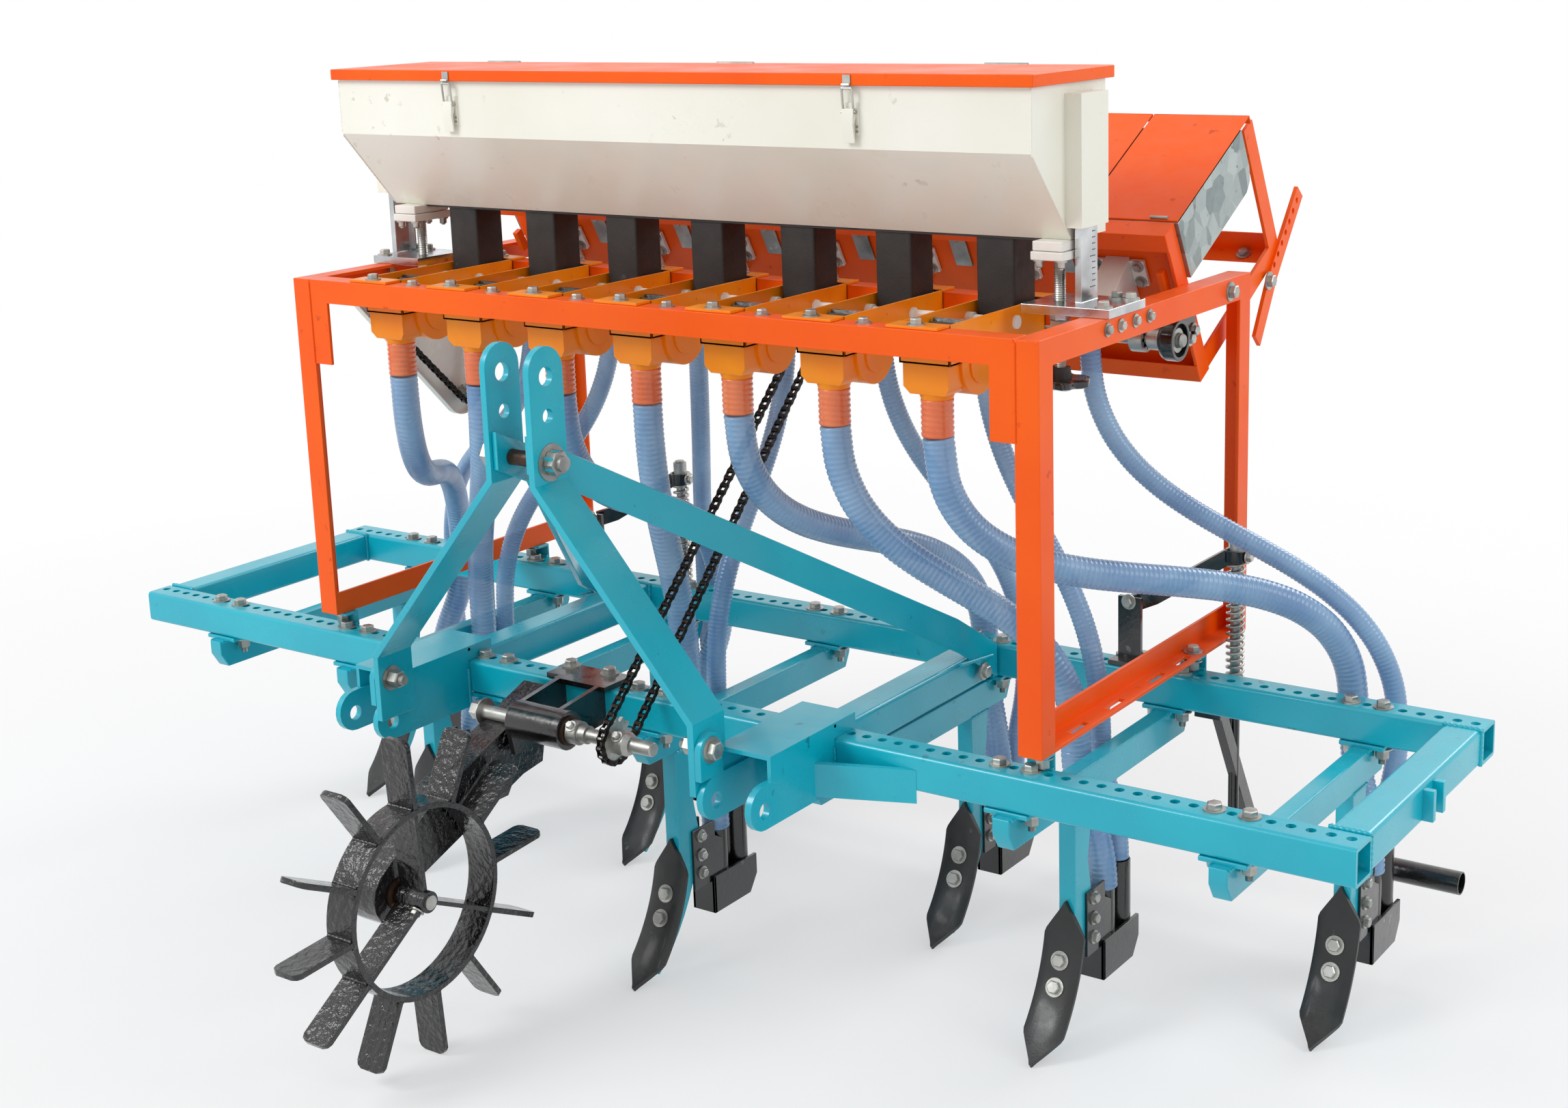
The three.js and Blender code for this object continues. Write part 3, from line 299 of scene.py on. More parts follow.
cuffs = bmesh.new()
for k in ROWS:
    x = CUP_X + k * CUP_PITCH
    ribbed(cuffs, [Vector((x, SPIGOT_Y, z)) for z in (896, 879, 862, SPIGOT_END + 0.2)], 21.6, 7.2, 1.5, 20)
piece("seed_hose_cuffs", cuffs, orange_cuff, "frame", sharp=80)
cuffs = bmesh.new()
for k in ROWS:
    x = k * FUNNEL_PITCH
    ribbed(cuffs, [Vector((x, FUNNEL_Y, z)) for z in (944, 935, 926, FUNNEL_END + 0.2)], 15.6, 6.0, 1.0, 18)
piece("planter_hose_cuffs", cuffs, clear_hose, "frame", sharp=80)

# ---- studio ----
# A plain pale floor that keeps the drill's soft shadow and turns white further out, under a white sky
# with one broad key lamp from the front left and a weaker one from behind.
floor_shape = bmesh.new()
bmesh.ops.create_circle(floor_shape, cap_ends=True, radius=60, segments=64)
floor_mesh = bpy.data.meshes.new("studio_floor")
floor_shape.to_mesh(floor_mesh)
floor_shape.free()
floor = bpy.data.objects.new("studio_floor", floor_mesh)
scene.collection.objects.link(floor)


def white_to_the_eye(tree, surface_shader, target, fade=None):
    """Camera, glossy and transmitted rays meet plain white; light itself still meets the surface."""
    nodes, links = tree.nodes, tree.links
    path = nodes.new("ShaderNodeLightPath")
    seen = path.outputs["Is Camera Ray"]
    for name in ("Is Glossy Ray", "Is Transmission Ray"):
        either = nodes.new("ShaderNodeMath")
        either.operation = "MAXIMUM"
        links.new(seen, either.inputs[0])
        links.new(path.outputs[name], either.inputs[1])
        seen = either.outputs[0]
    if fade:
        share = nodes.new("ShaderNodeMath")
        share.operation = "MULTIPLY"
        links.new(seen, share.inputs[0])
        links.new(fade, share.inputs[1])
        seen = share.outputs[0]
    white = nodes.new("ShaderNodeEmission" if fade else "ShaderNodeBackground")
    white.inputs["Strength"].default_value = 1.0
    white.inputs["Color"].default_value = (1, 1, 1, 1)
    mix = nodes.new("ShaderNodeMixShader")
    links.new(seen, mix.inputs["Fac"])
    links.new(surface_shader, mix.inputs[1])
    links.new(white.outputs[0], mix.inputs[2])
    links.new(mix.outputs[0], target)


floor_finish = bpy.data.materials.new("pale_floor")
floor_finish.use_nodes = True
floor_tree = floor_finish.node_tree
floor_tree.nodes["Principled BSDF"].inputs["Base Color"].default_value = (0.86, 0.86, 0.86, 1)
floor_tree.nodes["Principled BSDF"].inputs["Roughness"].default_value = 0.9
spread = floor_tree.nodes.new("ShaderNodeVectorMath")
spread.operation = "LENGTH"
floor_tree.links.new(floor_tree.nodes.new("ShaderNodeTexCoord").outputs["Object"], spread.inputs[0])
fading = floor_tree.nodes.new("ShaderNodeMapRange")
for socket, number in zip(fading.inputs[1:5], (1.0, 3.2, 0.45, 1.0)):
    socket.default_value = number
floor_tree.links.new(spread.outputs["Value"], fading.inputs[0])
white_to_the_eye(floor_tree, floor_tree.nodes["Principled BSDF"].outputs[0],
                 floor_tree.nodes["Material Output"].inputs["Surface"], fading.outputs[0])
floor_mesh.materials.append(floor_finish)

world = bpy.data.worlds.new("white_studio")
scene.world = world
world.use_nodes = True
sky = world.node_tree.nodes["Background"]
sky.inputs["Color"].default_value = (0.95, 0.97, 1.0, 1)
sky.inputs["Strength"].default_value = 0.62
white_to_the_eye(world.node_tree, sky.outputs[0], world.node_tree.nodes["World Output"].inputs["Surface"])
scene.view_settings.view_transform = "Standard"


def lamp(name, place, aim, size, power):
    data = bpy.data.lights.new(name, "AREA")
    data.shape, data.size, data.energy = "DISK", size, power
    made = bpy.data.objects.new(name, data)
    made.matrix_world = Matrix.Translation(place) @ (
        Vector(aim) - Vector(place)).to_track_quat("-Z", "Y").to_matrix().to_4x4()
    scene.collection.objects.link(made)


lamp("key", (-2.6, -3.6, 4.2), (0, 0, 0.6), 2.6, 150)
lamp("side", (4.2, 0.6, 3.0), (0, 0, 0.6), 2.2, 42)
lamp("back", (1.0, 4.2, 3.6), (0, 0, 0.8), 2.4, 70)

# ---- main frame ----
# Two long 50 mm square steel tubes and four short ones, welded into a ladder and painted teal.
# Both long tubes are drilled along their top at 25 mm, so that rows can be set anywhere.
FRAME_TOP, TUBE, TUBE_WALL, FRAME_DEPTH, FRAME_HALF = 435, 50, 5, 500, 1065
HOLE_PITCH, HOLE_START, HOLE_RADIUS, HOLE_LINE = 25, -1.3, 6.5, 28
BARE_STEEL = tone(120, 118, 114)

teal_paint = surface("teal_paint", tone(0, 168, 190), tone(4, 186, 205), (0.22, 0.38), 260, 0.12, patch=4,
                     coat=0.3, dust=0.06, scuff=tone(0, 120, 138))
zinc_steel = surface("zinc_plated_steel", tone(150, 150, 146), tone(196, 196, 190), (0.28, 0.5), 700, 0.2,
                     patch=30, metal=0.9, scuff=tone(214, 212, 205))


def rounded_square(centre, half, radius):
    """The outline of a square tube with rolled corners, about a centre."""
    a, b = centre
    outline = []
    for turn, (da, db) in enumerate(((1, 1), (-1, 1), (-1, -1), (1, -1))):
        for i in range(5):
            angle = math.pi / 2 * (turn + i / 4)
            outline.append((a + da * (half - radius) + radius * math.cos(angle),
                            b + db * (half - radius) + radius * math.sin(angle)))
    return outline


def square_tube(shape, direction, start, end, centre, size=TUBE, wall=TUBE_WALL):
    """A hollow square tube along X or Y."""
    outer = rounded_square(centre, size / 2, 6)
    inner = rounded_square(centre, size / 2 - wall, 2)

    def ends(outline, place):
        if direction == "x":
            return [Vector((place, a, b)) for a, b in outline]
        return [Vector((a, place, b)) for a, b in outline]

    skin(shape, [ends(outer, start), ends(outer, end), ends(inner, end), ends(inner, start)], closed=True)


def rod(shape, start, end, radius, sides=24, end_radius=None):
    start, end = Vector(start), Vector(end)
    axis = end - start
    skin(shape, [ring(start, axis, radius, sides), ring(end, axis, end_radius or radius, sides)])


def block(shape, x0, x1, y0, y1, z0, z1):
    skin(shape, [[Vector((x0, y0, z)), Vector((x1, y0, z)), Vector((x1, y1, z)), Vector((x0, y1, z))]
                 for z in (z0, z1)])


def drill_out(made, tools):
    """Cuts the tools' shape out of a piece."""
    for vert in tools.verts:
        vert.co = at(*vert.co)
    bmesh.ops.recalc_face_normals(tools, faces=tools.faces)
    mesh = bpy.data.meshes.new("drill_bits")
    tools.to_mesh(mesh)
    tools.free()
    bits = bpy.data.objects.new("drill_bits", mesh)
    scene.collection.objects.link(bits)
    cut = made.modifiers.new("holes", "BOOLEAN")
    cut.operation, cut.solver, cut.object = "DIFFERENCE", "EXACT", bits
    made.modifiers.move(len(made.modifiers) - 1, 0)
    bpy.context.view_layer.update()
    others = [(m, m.show_viewport) for m in made.modifiers if m != cut]
    for modifier, _ in others:
        modifier.show_viewport = False
    whole = bpy.data.meshes.new_from_object(made.evaluated_get(bpy.context.evaluated_depsgraph_get()))
    for modifier, shown in others:
        modifier.show_viewport = shown
    made.modifiers.remove(cut)
    made.data = whole
    bpy.data.objects.remove(bits)


def weld(shape, corners, radius=3.2):
    """A rippled weld bead along a line of corners."""
    line = [Vector(corners[0])]
    for near, far in zip(corners, corners[1:]):
        near, far = Vector(near), Vector(far)
        count = max(2, round((far - near).length / 2.2))
        line += [near.lerp(far, i / count) for i in range(1, count + 1)]
    rings = []
    for i, centre in enumerate(line):
        along = line[min(i + 1, len(line) - 1)] - line[max(i - 1, 0)]
        swell = 1 + 0.16 * math.sin(i * 1.9) + welding.uniform(-0.1, 0.1)
        rings.append(ring(centre, along, radius * swell, 8))
    skin(shape, rings)


welding = random.Random(7)
BEAM_LINES = {"front_beam": (0, HOLE_LINE), "rear_beam": (FRAME_DEPTH - TUBE, FRAME_DEPTH - 30)}
for name, (beam_front, hole_y) in BEAM_LINES.items():
    shape = bmesh.new()
    square_tube(shape, "x", -FRAME_HALF, FRAME_HALF, (beam_front + TUBE / 2, FRAME_TOP - TUBE / 2))
    beam = piece(f"{name}_tube", shape, teal_paint, "frame")
    bits = bmesh.new()
    for i in range(-42, 43):
        x = HOLE_START + i * HOLE_PITCH
        rod(bits, (x, hole_y, FRAME_TOP - TUBE - 5), (x, hole_y, FRAME_TOP + 5), HOLE_RADIUS, 16)
    drill_out(beam, bits)
    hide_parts(name)

shape = bmesh.new()
for name in ("end_tube_left", "end_tube_right", "cross_tube_left", "cross_tube_right"):
    low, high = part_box(name)
    square_tube(shape, "y", TUBE, FRAME_DEPTH - TUBE, (500 * (low.x + high.x), FRAME_TOP - TUBE / 2))
short_tubes = piece("short_tubes", shape, teal_paint, "frame")
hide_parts("end_tube_left", "end_tube_right", "cross_tube_left", "cross_tube_right")

END_X, CROSS_X, LUG_X = 1038, (-368, 298), 628
shape = bmesh.new()
for x in (-END_X, *CROSS_X, END_X):
    for y in (TUBE + 1, FRAME_DEPTH - TUBE - 1):
        weld(shape, [(x - 25, y, FRAME_TOP - TUBE), (x - 25, y, FRAME_TOP), (x + 25, y, FRAME_TOP),
                     (x + 25, y, FRAME_TOP - TUBE)])
for x in (-LUG_X, LUG_X):
    for y in (TUBE, FRAME_DEPTH):
        weld(shape, [(x - 20, y - 6, FRAME_TOP + 1), (x + 20, y - 6, FRAME_TOP + 1)])
piece("frame_welds", shape, teal_paint, "frame", sharp=60)

shape = bmesh.new()
for x in (-LUG_X, LUG_X):
    for y in (TUBE - 3, FRAME_DEPTH - 3):
        block(shape, x - 20, x + 20, y - 2, y + 2, FRAME_TOP - 1, FRAME_TOP + 20)
        block(shape, x - 20, x + 20, y - 25, y + 2, FRAME_TOP + 19.5, FRAME_TOP + 23.7)
for side in (-1, 1):
    for y in (232, 268):
        block(shape, side * (FRAME_HALF - 4), side * (FRAME_HALF + 12), y - 5, y + 5, FRAME_TOP - 47,
              FRAME_TOP - 6)
piece("frame_lugs", shape, teal_paint, "frame", edge=1.0)


def hexagon_head(shape, seat, axis, height=8, across_flats=17):
    """A bolt head or nut with its chamfer, standing on a seat."""
    axis = Vector(axis).normalized()
    reach = across_flats / math.sqrt(3)
    seat = Vector(seat)
    skin(shape, [ring(seat + axis * d, axis, r, 6) for d, r in
                 ((0, reach * 0.94), (0.8, reach), (height - 1.2, reach), (height, reach * 0.86))])


def bolt(shape, seat, axis, height=8, across_flats=17):
    """A hexagon bolt head on its plain washer."""
    axis, seat = Vector(axis).normalized(), Vector(seat)
    rod(shape, seat, seat + axis * 2, across_flats * 0.82, 24)
    hexagon_head(shape, seat + axis * 2, axis, height, across_flats)


def nut(shape, seat, axis, across_flats=17, spare=9):
    """A nut on its washer, with the bolt's threaded end standing out of it."""
    bolt(shape, seat, axis, across_flats * 0.8, across_flats)
    axis, seat = Vector(axis).normalized(), Vector(seat)
    thread = across_flats * 0.3
    start = 2 + across_flats * 0.8 - 0.5
    turns = int(spare / 1.5)
    rings = []
    for i in range(turns):
        for part, size in ((0.0, 0.88), (0.75, 1.0)):
            rings.append(ring(seat + axis * (start + i * 1.5 + part), axis, thread * size, 14))
    skin(shape, rings)


# ---- three-point hitch ----
# Plate brackets for the lower links, a mast of two bent plates and two braces to the cross tubes,
# all cut from 10 mm plate, welded or bolted on and painted with the frame.
HITCH_X, MAST_Y, MAST_PIN_Z, EAR = -35, -157, 810, (-167, 460)


def shaped(node, name, finish, body, edge=1.0):
    """The node's own shape with its flat faces cleaned up and its edges rounded."""
    shape = bmesh.new()
    shape.from_mesh(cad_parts[node].data)
    bmesh.ops.remove_doubles(shape, verts=shape.verts, dist=1e-5)
    bmesh.ops.dissolve_limit(shape, angle_limit=math.radians(0.6), verts=shape.verts, edges=shape.edges)
    made = piece(name, shape, finish, body, edge=edge, in_metres=True)
    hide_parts(node)
    return made


for name in ("lower_link_left", "lower_link_right", "mast_left", "mast_right", "brace_left", "brace_right"):
    shaped(name, f"{name}_plate", teal_paint, "frame")

shape = bmesh.new()
for side, (inner, outer) in ((1, (254, 341)), (-1, (-324, -411))):
    for x in (inner, inner + side * 10, outer - side * 10, outer):
        weld(shape, [(x, -2, 364), (x, -2, 423)], 2.8)
    weld(shape, [(min(inner, outer), 2, FRAME_TOP + 17), (max(inner, outer), 2, FRAME_TOP + 17)], 2.5)
for side, x in ((1, HITCH_X + 367), (-1, HITCH_X - 367)):
    weld(shape, [(x, 340, 436), (x, 430, 425)], 2.6)
piece("hitch_welds", shape, teal_paint, "frame", sharp=60)

hitch_bolts = bmesh.new()
ear_y, ear_z = EAR
for side in (1, -1):
    outside = HITCH_X + side * 299
    bolt(hitch_bolts, (outside, ear_y, ear_z), (side, 0, 0), 10, 22)
    nut(hitch_bolts, (HITCH_X + side * 278.7, ear_y, ear_z), (-side, 0, 0), 22)
    bolt(hitch_bolts, (HITCH_X + side * 366.6, 404, 408), (side, 0, 0))
    hexagon_head(hitch_bolts, (HITCH_X + side * 366.6, 404, 408), (side, 0, 0), 4, 24)
bolt(hitch_bolts, (HITCH_X + 43.5, MAST_Y, MAST_PIN_Z), (1, 0, 0), 16, 31)
nut(hitch_bolts, (HITCH_X - 43.5, MAST_Y, MAST_PIN_Z), (-1, 0, 0), 30, 9)
rod(hitch_bolts, (HITCH_X + 60, MAST_Y, MAST_PIN_Z), (HITCH_X + 68, MAST_Y, MAST_PIN_Z), 10.6)
piece("hitch_bolts", hitch_bolts, zinc_steel, "frame")
pin_sleeve = bmesh.new()
rod(pin_sleeve, (HITCH_X - 25, MAST_Y, MAST_PIN_Z), (HITCH_X + 25, MAST_Y, MAST_PIN_Z), 10.6)
rust_brown = surface("oiled_bare_steel", tone(58, 42, 34), tone(92, 66, 50), (0.35, 0.6), 300, 0.3, patch=40,
                     metal=0.6)
piece("mast_pin_middle", pin_sleeve, rust_brown, "frame")

# ---- tines ----
# Seven forged tines: an arm clamped under both beams, a curved 25 mm shank, a pointed shovel plate
# bolted to its face and a boot of two pipes that drops the seed behind it.
SHOVEL_RADIUS, SHOVEL_HALF, SHANK_HALF = 235, 30, 12.5
SHOVEL_TOP = 243 * math.sin(math.radians(55))
ARM_TOP, ARM_DEPTH, PAD_HALF = 379, 45, 32

black_paint = surface("black_gloss_paint", tone(10, 10, 12), tone(26, 26, 28), (0.12, 0.32), 140, 0.35,
                      patch=18, coat=0.6, dust=0.1, scuff=BARE_STEEL)
shovel_black = surface("black_shovel_paint", tone(16, 17, 18), tone(34, 35, 36), (0.3, 0.5), 300, 0.2,
                       patch=14, coat=0.15, dust=0.15, scuff=tone(128, 126, 122))


def on_arc(radius, degrees, x=0.0):
    angle = math.radians(degrees)
    return Vector((x, -SHOVEL_RADIUS + radius * math.cos(angle), SHOVEL_TOP - radius * math.sin(angle)))


def prism(shape, outline, x0, x1):
    skin(shape, [[Vector((x, y, z)) for y, z in outline] for x in (x0, x1)])


def shovel(shape, place):
    """A pointed plate bent along its length, with ground edges."""
    rings = []
    for i in range(34):
        degrees = 55 * i / 33
        half = SHOVEL_HALF * min(1, max(degrees, 0.4) / 11, max(55 - degrees, 0.4) / 11)
        across_plate = [half * (step / 4 - 1) for step in range(9)]
        front = [on_arc(SHOVEL_RADIUS + 3.2 * abs(x / SHOVEL_HALF) ** 4, degrees, x) for x in across_plate]
        rear = [on_arc(SHOVEL_RADIUS + 8, degrees, x) for x in reversed(across_plate)]
        rings.append([point + place for point in front + rear])
    skin(shape, rings)


def flat(points):
    return [(p.y, p.z) for p in points]


def shank(shape, place):
    x0, x1 = place.x - SHANK_HALF, place.x + SHANK_HALF
    front = [on_arc(SHOVEL_RADIUS + 7, a) for a in range(0, 47, 4)]
    back = [on_arc(SHOVEL_RADIUS + 28 + (46 - a) * 0.6, a) for a in range(46, -1, -5)]
    arm_bottom = ARM_TOP - ARM_DEPTH
    leg = flat(front) + flat(back) + [(44, 250), (52, 290), (56, arm_bottom + 2), (7, arm_bottom + 2)]
    prism(shape, [(y + place.y, z) for y, z in leg], x0, x1)
    prism(shape, [(-12, ARM_TOP), (-12, ARM_TOP - 22), (2, arm_bottom), (FRAME_DEPTH, arm_bottom),
                  (FRAME_DEPTH + 12, ARM_TOP - 22), (FRAME_DEPTH + 12, ARM_TOP)], x0, x1)
    for y in (0, FRAME_DEPTH - TUBE):
        block(shape, place.x - PAD_HALF, place.x + PAD_HALF, y, y + TUBE, ARM_TOP - 1, FRAME_TOP - TUBE - 0.3)


def pipe(shape, start, end, radius, wall, sides=28):
    start, end = Vector(start), Vector(end)
    axis = end - start
    skin(shape, [ring(start, axis, radius, sides), ring(end, axis, radius, sides),
                 ring(end, axis, radius - wall, sides), ring(start, axis, radius - wall, sides)], closed=True)


def boot(shape, place):
    x, y = place.x, place.y
    for side in (-1, 1):
        inner = x + side * (SHANK_HALF - 0.5)
        outer = inner + side * 4.5
        plate = ((34, 108), (104, 108), (104, 168), (86, 178), (86, 202), (34, 202))
        prism(shape, [(y + a, z) for a, z in plate],
              min(inner, outer), max(inner, outer))
        cheek = x + side * 18.5
        prism(shape, [(y + a, z) for a, z in ((74, 58), (74, 116), (180, 116), (180, 84), (162, 58))],
              cheek - 2.5, cheek + 2.5)
    pipe(shape, (x, y + BOOT_FRONT, 96), (x, y + BOOT_FRONT, 180), 17, 2)
    pipe(shape, (x, y + BOOT_REAR, 96), (x, y + BOOT_REAR, 204), 17, 2)
    block(shape, x - 21, x + 21, y + 74, y + 79, 58, 116)


shanks, shovels, boots, pad_bolts, tine_welds = (bmesh.new() for _ in range(5))
for k in ROWS:
    place = Vector((row_x(k), BLADE_ROWS[k], 0))
    shank(shanks, place)
    shovel(shovels, place)
    boot(boots, place)
    for down in (82, 119):
        degrees = math.degrees(down / (SHOVEL_RADIUS + 4))
        inward = Vector((0, -math.cos(math.radians(degrees)), math.sin(math.radians(degrees))))
        bolt(pad_bolts, on_arc(SHOVEL_RADIUS, degrees) + place, inward, 7, 16)
    for z in (132, 160, 190):
        for side in (-1, 1):
            seat = (place.x + side * 16.5, place.y + 52, z)
            bolt(pad_bolts, seat, (side, 0, 0), 6, 12)
    for y in (HOLE_LINE, FRAME_DEPTH - 30):
        for dx in (-23, 23):
            bolt(pad_bolts, (place.x + dx, y, FRAME_TOP), (0, 0, 1))
            nut(pad_bolts, (place.x + dx, y, ARM_TOP - 1), (0, 0, -1))
    for y in (4, 46, 454, 496):
        for side in (-1, 1):
            x = place.x + side * 13
            weld(tine_welds, [(x, y - 12, ARM_TOP - 1), (x, y + 6, ARM_TOP - 1)], 2.4)
    for side in (-1, 1):
        x = place.x + side * SHANK_HALF
        weld(tine_welds, [(x, place.y + 8, 333), (x, place.y + 54, 333)], 2.4)
tines = piece("tine_shanks", shanks, teal_paint, "frame", edge=1.6)
piece("shovels", shovels, shovel_black, "frame")
piece("seed_boots", boots, black_paint, "frame", edge=0.7)
piece("tine_bolts", pad_bolts, zinc_steel, "frame")
piece("tine_welds", tine_welds, teal_paint, "frame", sharp=60)
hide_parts(*(f"tine_{k + 4}" for k in ROWS))

# ---- stand ----
# Two welded side frames of 35 mm angle iron, joined by a front and a middle rail and painted orange.
# Their slotted feet bolt to four lugs on the beams.
STAND_TOP, STAND_FOOT, STAND_HALF = 993, 459, 650
orange_paint = surface("orange_paint", tone(248, 86, 0), tone(255, 100, 0), (0.3, 0.46), 280, 0.14, patch=4,
                       coat=0.06, dust=0.06, scuff=tone(205, 60, 8))
orange_paint.node_tree.nodes["Principled BSDF"].inputs["Specular IOR Level"].default_value = 0.25

for side in (-1, 1):
    name = "stand_right" if side > 0 else "stand_left"
    side_frame = shaped(name, f"{name}_frame", orange_paint, "frame", edge=0.8)
    slots = bmesh.new()
    for y in (128, 232, 356, 440):
        block(slots, side * 637 - 4.5, side * 637 + 4.5, y - 22, y + 22, STAND_FOOT - 3, STAND_FOOT + 8)
    drill_out(side_frame, slots)
shaped("front_rail", "front_rail_angle", orange_paint, "frame", edge=0.8)
shaped("middle_rail", "middle_rail_angle", orange_paint, "frame", edge=0.8)

shape = bmesh.new()
for side in (-1, 1):
    for z in (STAND_FOOT + 2, STAND_TOP - 3):
        for y in (12, 628):
            weld(shape, [(side * (STAND_HALF - 34), y, z), (side * (STAND_HALF - 2), y, z)], 2.2)
    weld(shape, [(side * 616, 10, STAND_TOP - 128), (side * 616, 10, STAND_TOP - 4)], 2.0)
piece("stand_welds", shape, orange_paint, "frame", sharp=60)
shape = bmesh.new()
for side in (-1, 1):
    for y in (40, 482):
        bolt(shape, (side * 634, y, STAND_FOOT + 5), (0, 0, 1))
        nut(shape, (side * 634, y, STAND_FOOT - 6), (0, 0, -1), spare=6)
    for y in (187, 224, 265, 306):
        bolt(shape, (side * STAND_HALF, y, STAND_TOP - 14), (side, 0, 0), 5, 11)
    bolt(shape, (side * STAND_HALF, 560, STAND_TOP - 18), (side, 0, 0), 9, 17)
piece("stand_bolts", shape, zinc_steel, "frame")

# ---- seed cups ----
# Seven moulded orange cups hang side by side between the front and middle rails on flanges and bolts.
# Each is an open trough with a rounded belly for its feed roller and a spigot; a white rod ties them.
CUP_HALF, CUP_WALL, CUP_TOP, CUP_FLOOR, CUP_FRONT, CUP_REAR = 38, 3, 996, 943, 45.7, 291
ROLLER_Y, ROLLER_Z, TIE_Y, TIE_Z = 120, CUP_FLOOR + 24, 212, 975
cup_plastic = surface("cup_plastic", tone(250, 134, 0), tone(255, 154, 12), (0.3, 0.45), 420, 0.1, patch=9,
                      coat=0.15, dust=0.05)
cup_plastic.node_tree.nodes["Principled BSDF"].inputs["Specular IOR Level"].default_value = 0.3
white_nylon = surface("white_nylon", tone(228, 226, 218), tone(244, 243, 236), (0.4, 0.55), 500, 0.1,
                      patch=12, dust=0.05)


def moulded_cup(shape, x):
    for side in (-1, 1):
        outer, inner = x + side * CUP_HALF, x + side * (CUP_HALF - CUP_WALL)
        block(shape, min(outer, inner), max(outer, inner), CUP_FRONT, CUP_REAR, CUP_FLOOR, CUP_TOP)
        rod(shape, (outer, 120, CUP_FLOOR - 6), (outer + side * 2.5, 120, CUP_FLOOR - 6), 26, 32)
        for y in (150, 200, 250):
            rod(shape, (outer, y, CUP_TOP - 12), (outer + side * 0.8, y, CUP_TOP - 12), 2.2, 12)
    block(shape, x - CUP_HALF, x + CUP_HALF, CUP_FRONT, CUP_REAR, CUP_FLOOR, CUP_FLOOR + 3)
    block(shape, x - CUP_HALF, x + CUP_HALF, CUP_FRONT, CUP_FRONT + 3, CUP_FLOOR, CUP_TOP)
    block(shape, x - CUP_HALF, x + CUP_HALF, CUP_REAR - 2, CUP_REAR, CUP_FLOOR, CUP_TOP)
    for y0, y1 in ((16, CUP_FRONT + 3), (CUP_REAR - 2, CUP_REAR + 31)):
        corners = [(x - CUP_HALF, y0), (x + CUP_HALF, y0), (x + CUP_HALF, y1), (x - CUP_HALF, y1)]
        skin(shape, [[Vector((a, b, z)) for a, b in corners] for z in (993.3, 997)])
    turns = [math.pi * (1 + i / 20) for i in range(21)]
    belly = [(ROLLER_Y + 45 * math.cos(turn), CUP_FLOOR - 3 + 45 * math.sin(turn)) for turn in turns]
    prism(shape, [*belly, (165, CUP_FLOOR + 1), (75, CUP_FLOOR + 1)], x - CUP_HALF, x + CUP_HALF)
    foot, waist = (
        [(x + a * across, SPIGOT_Y + b * along) for a, b in ((-1, -1), (1, -1), (1, 1), (-1, 1))]
        for across, along in ((34, 27), (26, 24)))
    skin(shape, [[Vector((a, b, z)) for a, b in outline] for outline, z in
                 ((waist, CUP_FLOOR - 40), (foot, CUP_FLOOR - 30), (foot, CUP_FLOOR + 1))])
    rod(shape, (x, SPIGOT_Y, CUP_FLOOR - 30), (x, SPIGOT_Y, CUP_FLOOR - 48), 27, 32, 21)
    pipe(shape, (x, SPIGOT_Y, CUP_FLOOR - 98), (x, SPIGOT_Y, CUP_FLOOR - 40), 19, 2.5)


cups, rollers, tie, cup_bolts = (bmesh.new() for _ in range(4))
for k in ROWS:
    x = CUP_X + k * CUP_PITCH
    moulded_cup(cups, x)
    flutes = []
    for i in range(48):
        size = 24 if i % 4 in (0, 1) else 19
        turn = 2 * math.pi * i / 48
        flutes.append((ROLLER_Y + size * math.cos(turn), ROLLER_Z + size * math.sin(turn)))
    prism(rollers, flutes, x - 30, x + 30)
    bolt(cup_bolts, (x, 28, 997), (0, 0, 1), 7, 14)
    bolt(cup_bolts, (x, CUP_REAR + 16, 997), (0, 0, 1), 7, 14)
    if k < 3:
        bolt(cup_bolts, (x + CUP_PITCH / 2, 30, STAND_TOP), (0, 0, 1), 6, 13)
    for side in (-1, 1):
        rod(tie, (x + side * 25, TIE_Y, TIE_Z), (x + side * 41.5, TIE_Y, TIE_Z), 9, 24)
first_cup, last_cup = CUP_X - 3 * CUP_PITCH, CUP_X + 3 * CUP_PITCH
rod(tie, (first_cup - 40, TIE_Y, TIE_Z), (last_cup + 40, TIE_Y, TIE_Z), 6)
rod(rollers, (first_cup - 36, ROLLER_Y, ROLLER_Z), (last_cup + 36, ROLLER_Y, ROLLER_Z), 7)
seed_cups = piece("moulded_seed_cups", cups, cup_plastic, "frame", edge=1.0)
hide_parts("seed_cups")
piece("feed_rollers", rollers, black_paint, "frame")
piece("cup_tie_rod", tie, white_nylon, "frame")
piece("cup_bolts", cup_bolts, zinc_steel, "frame")

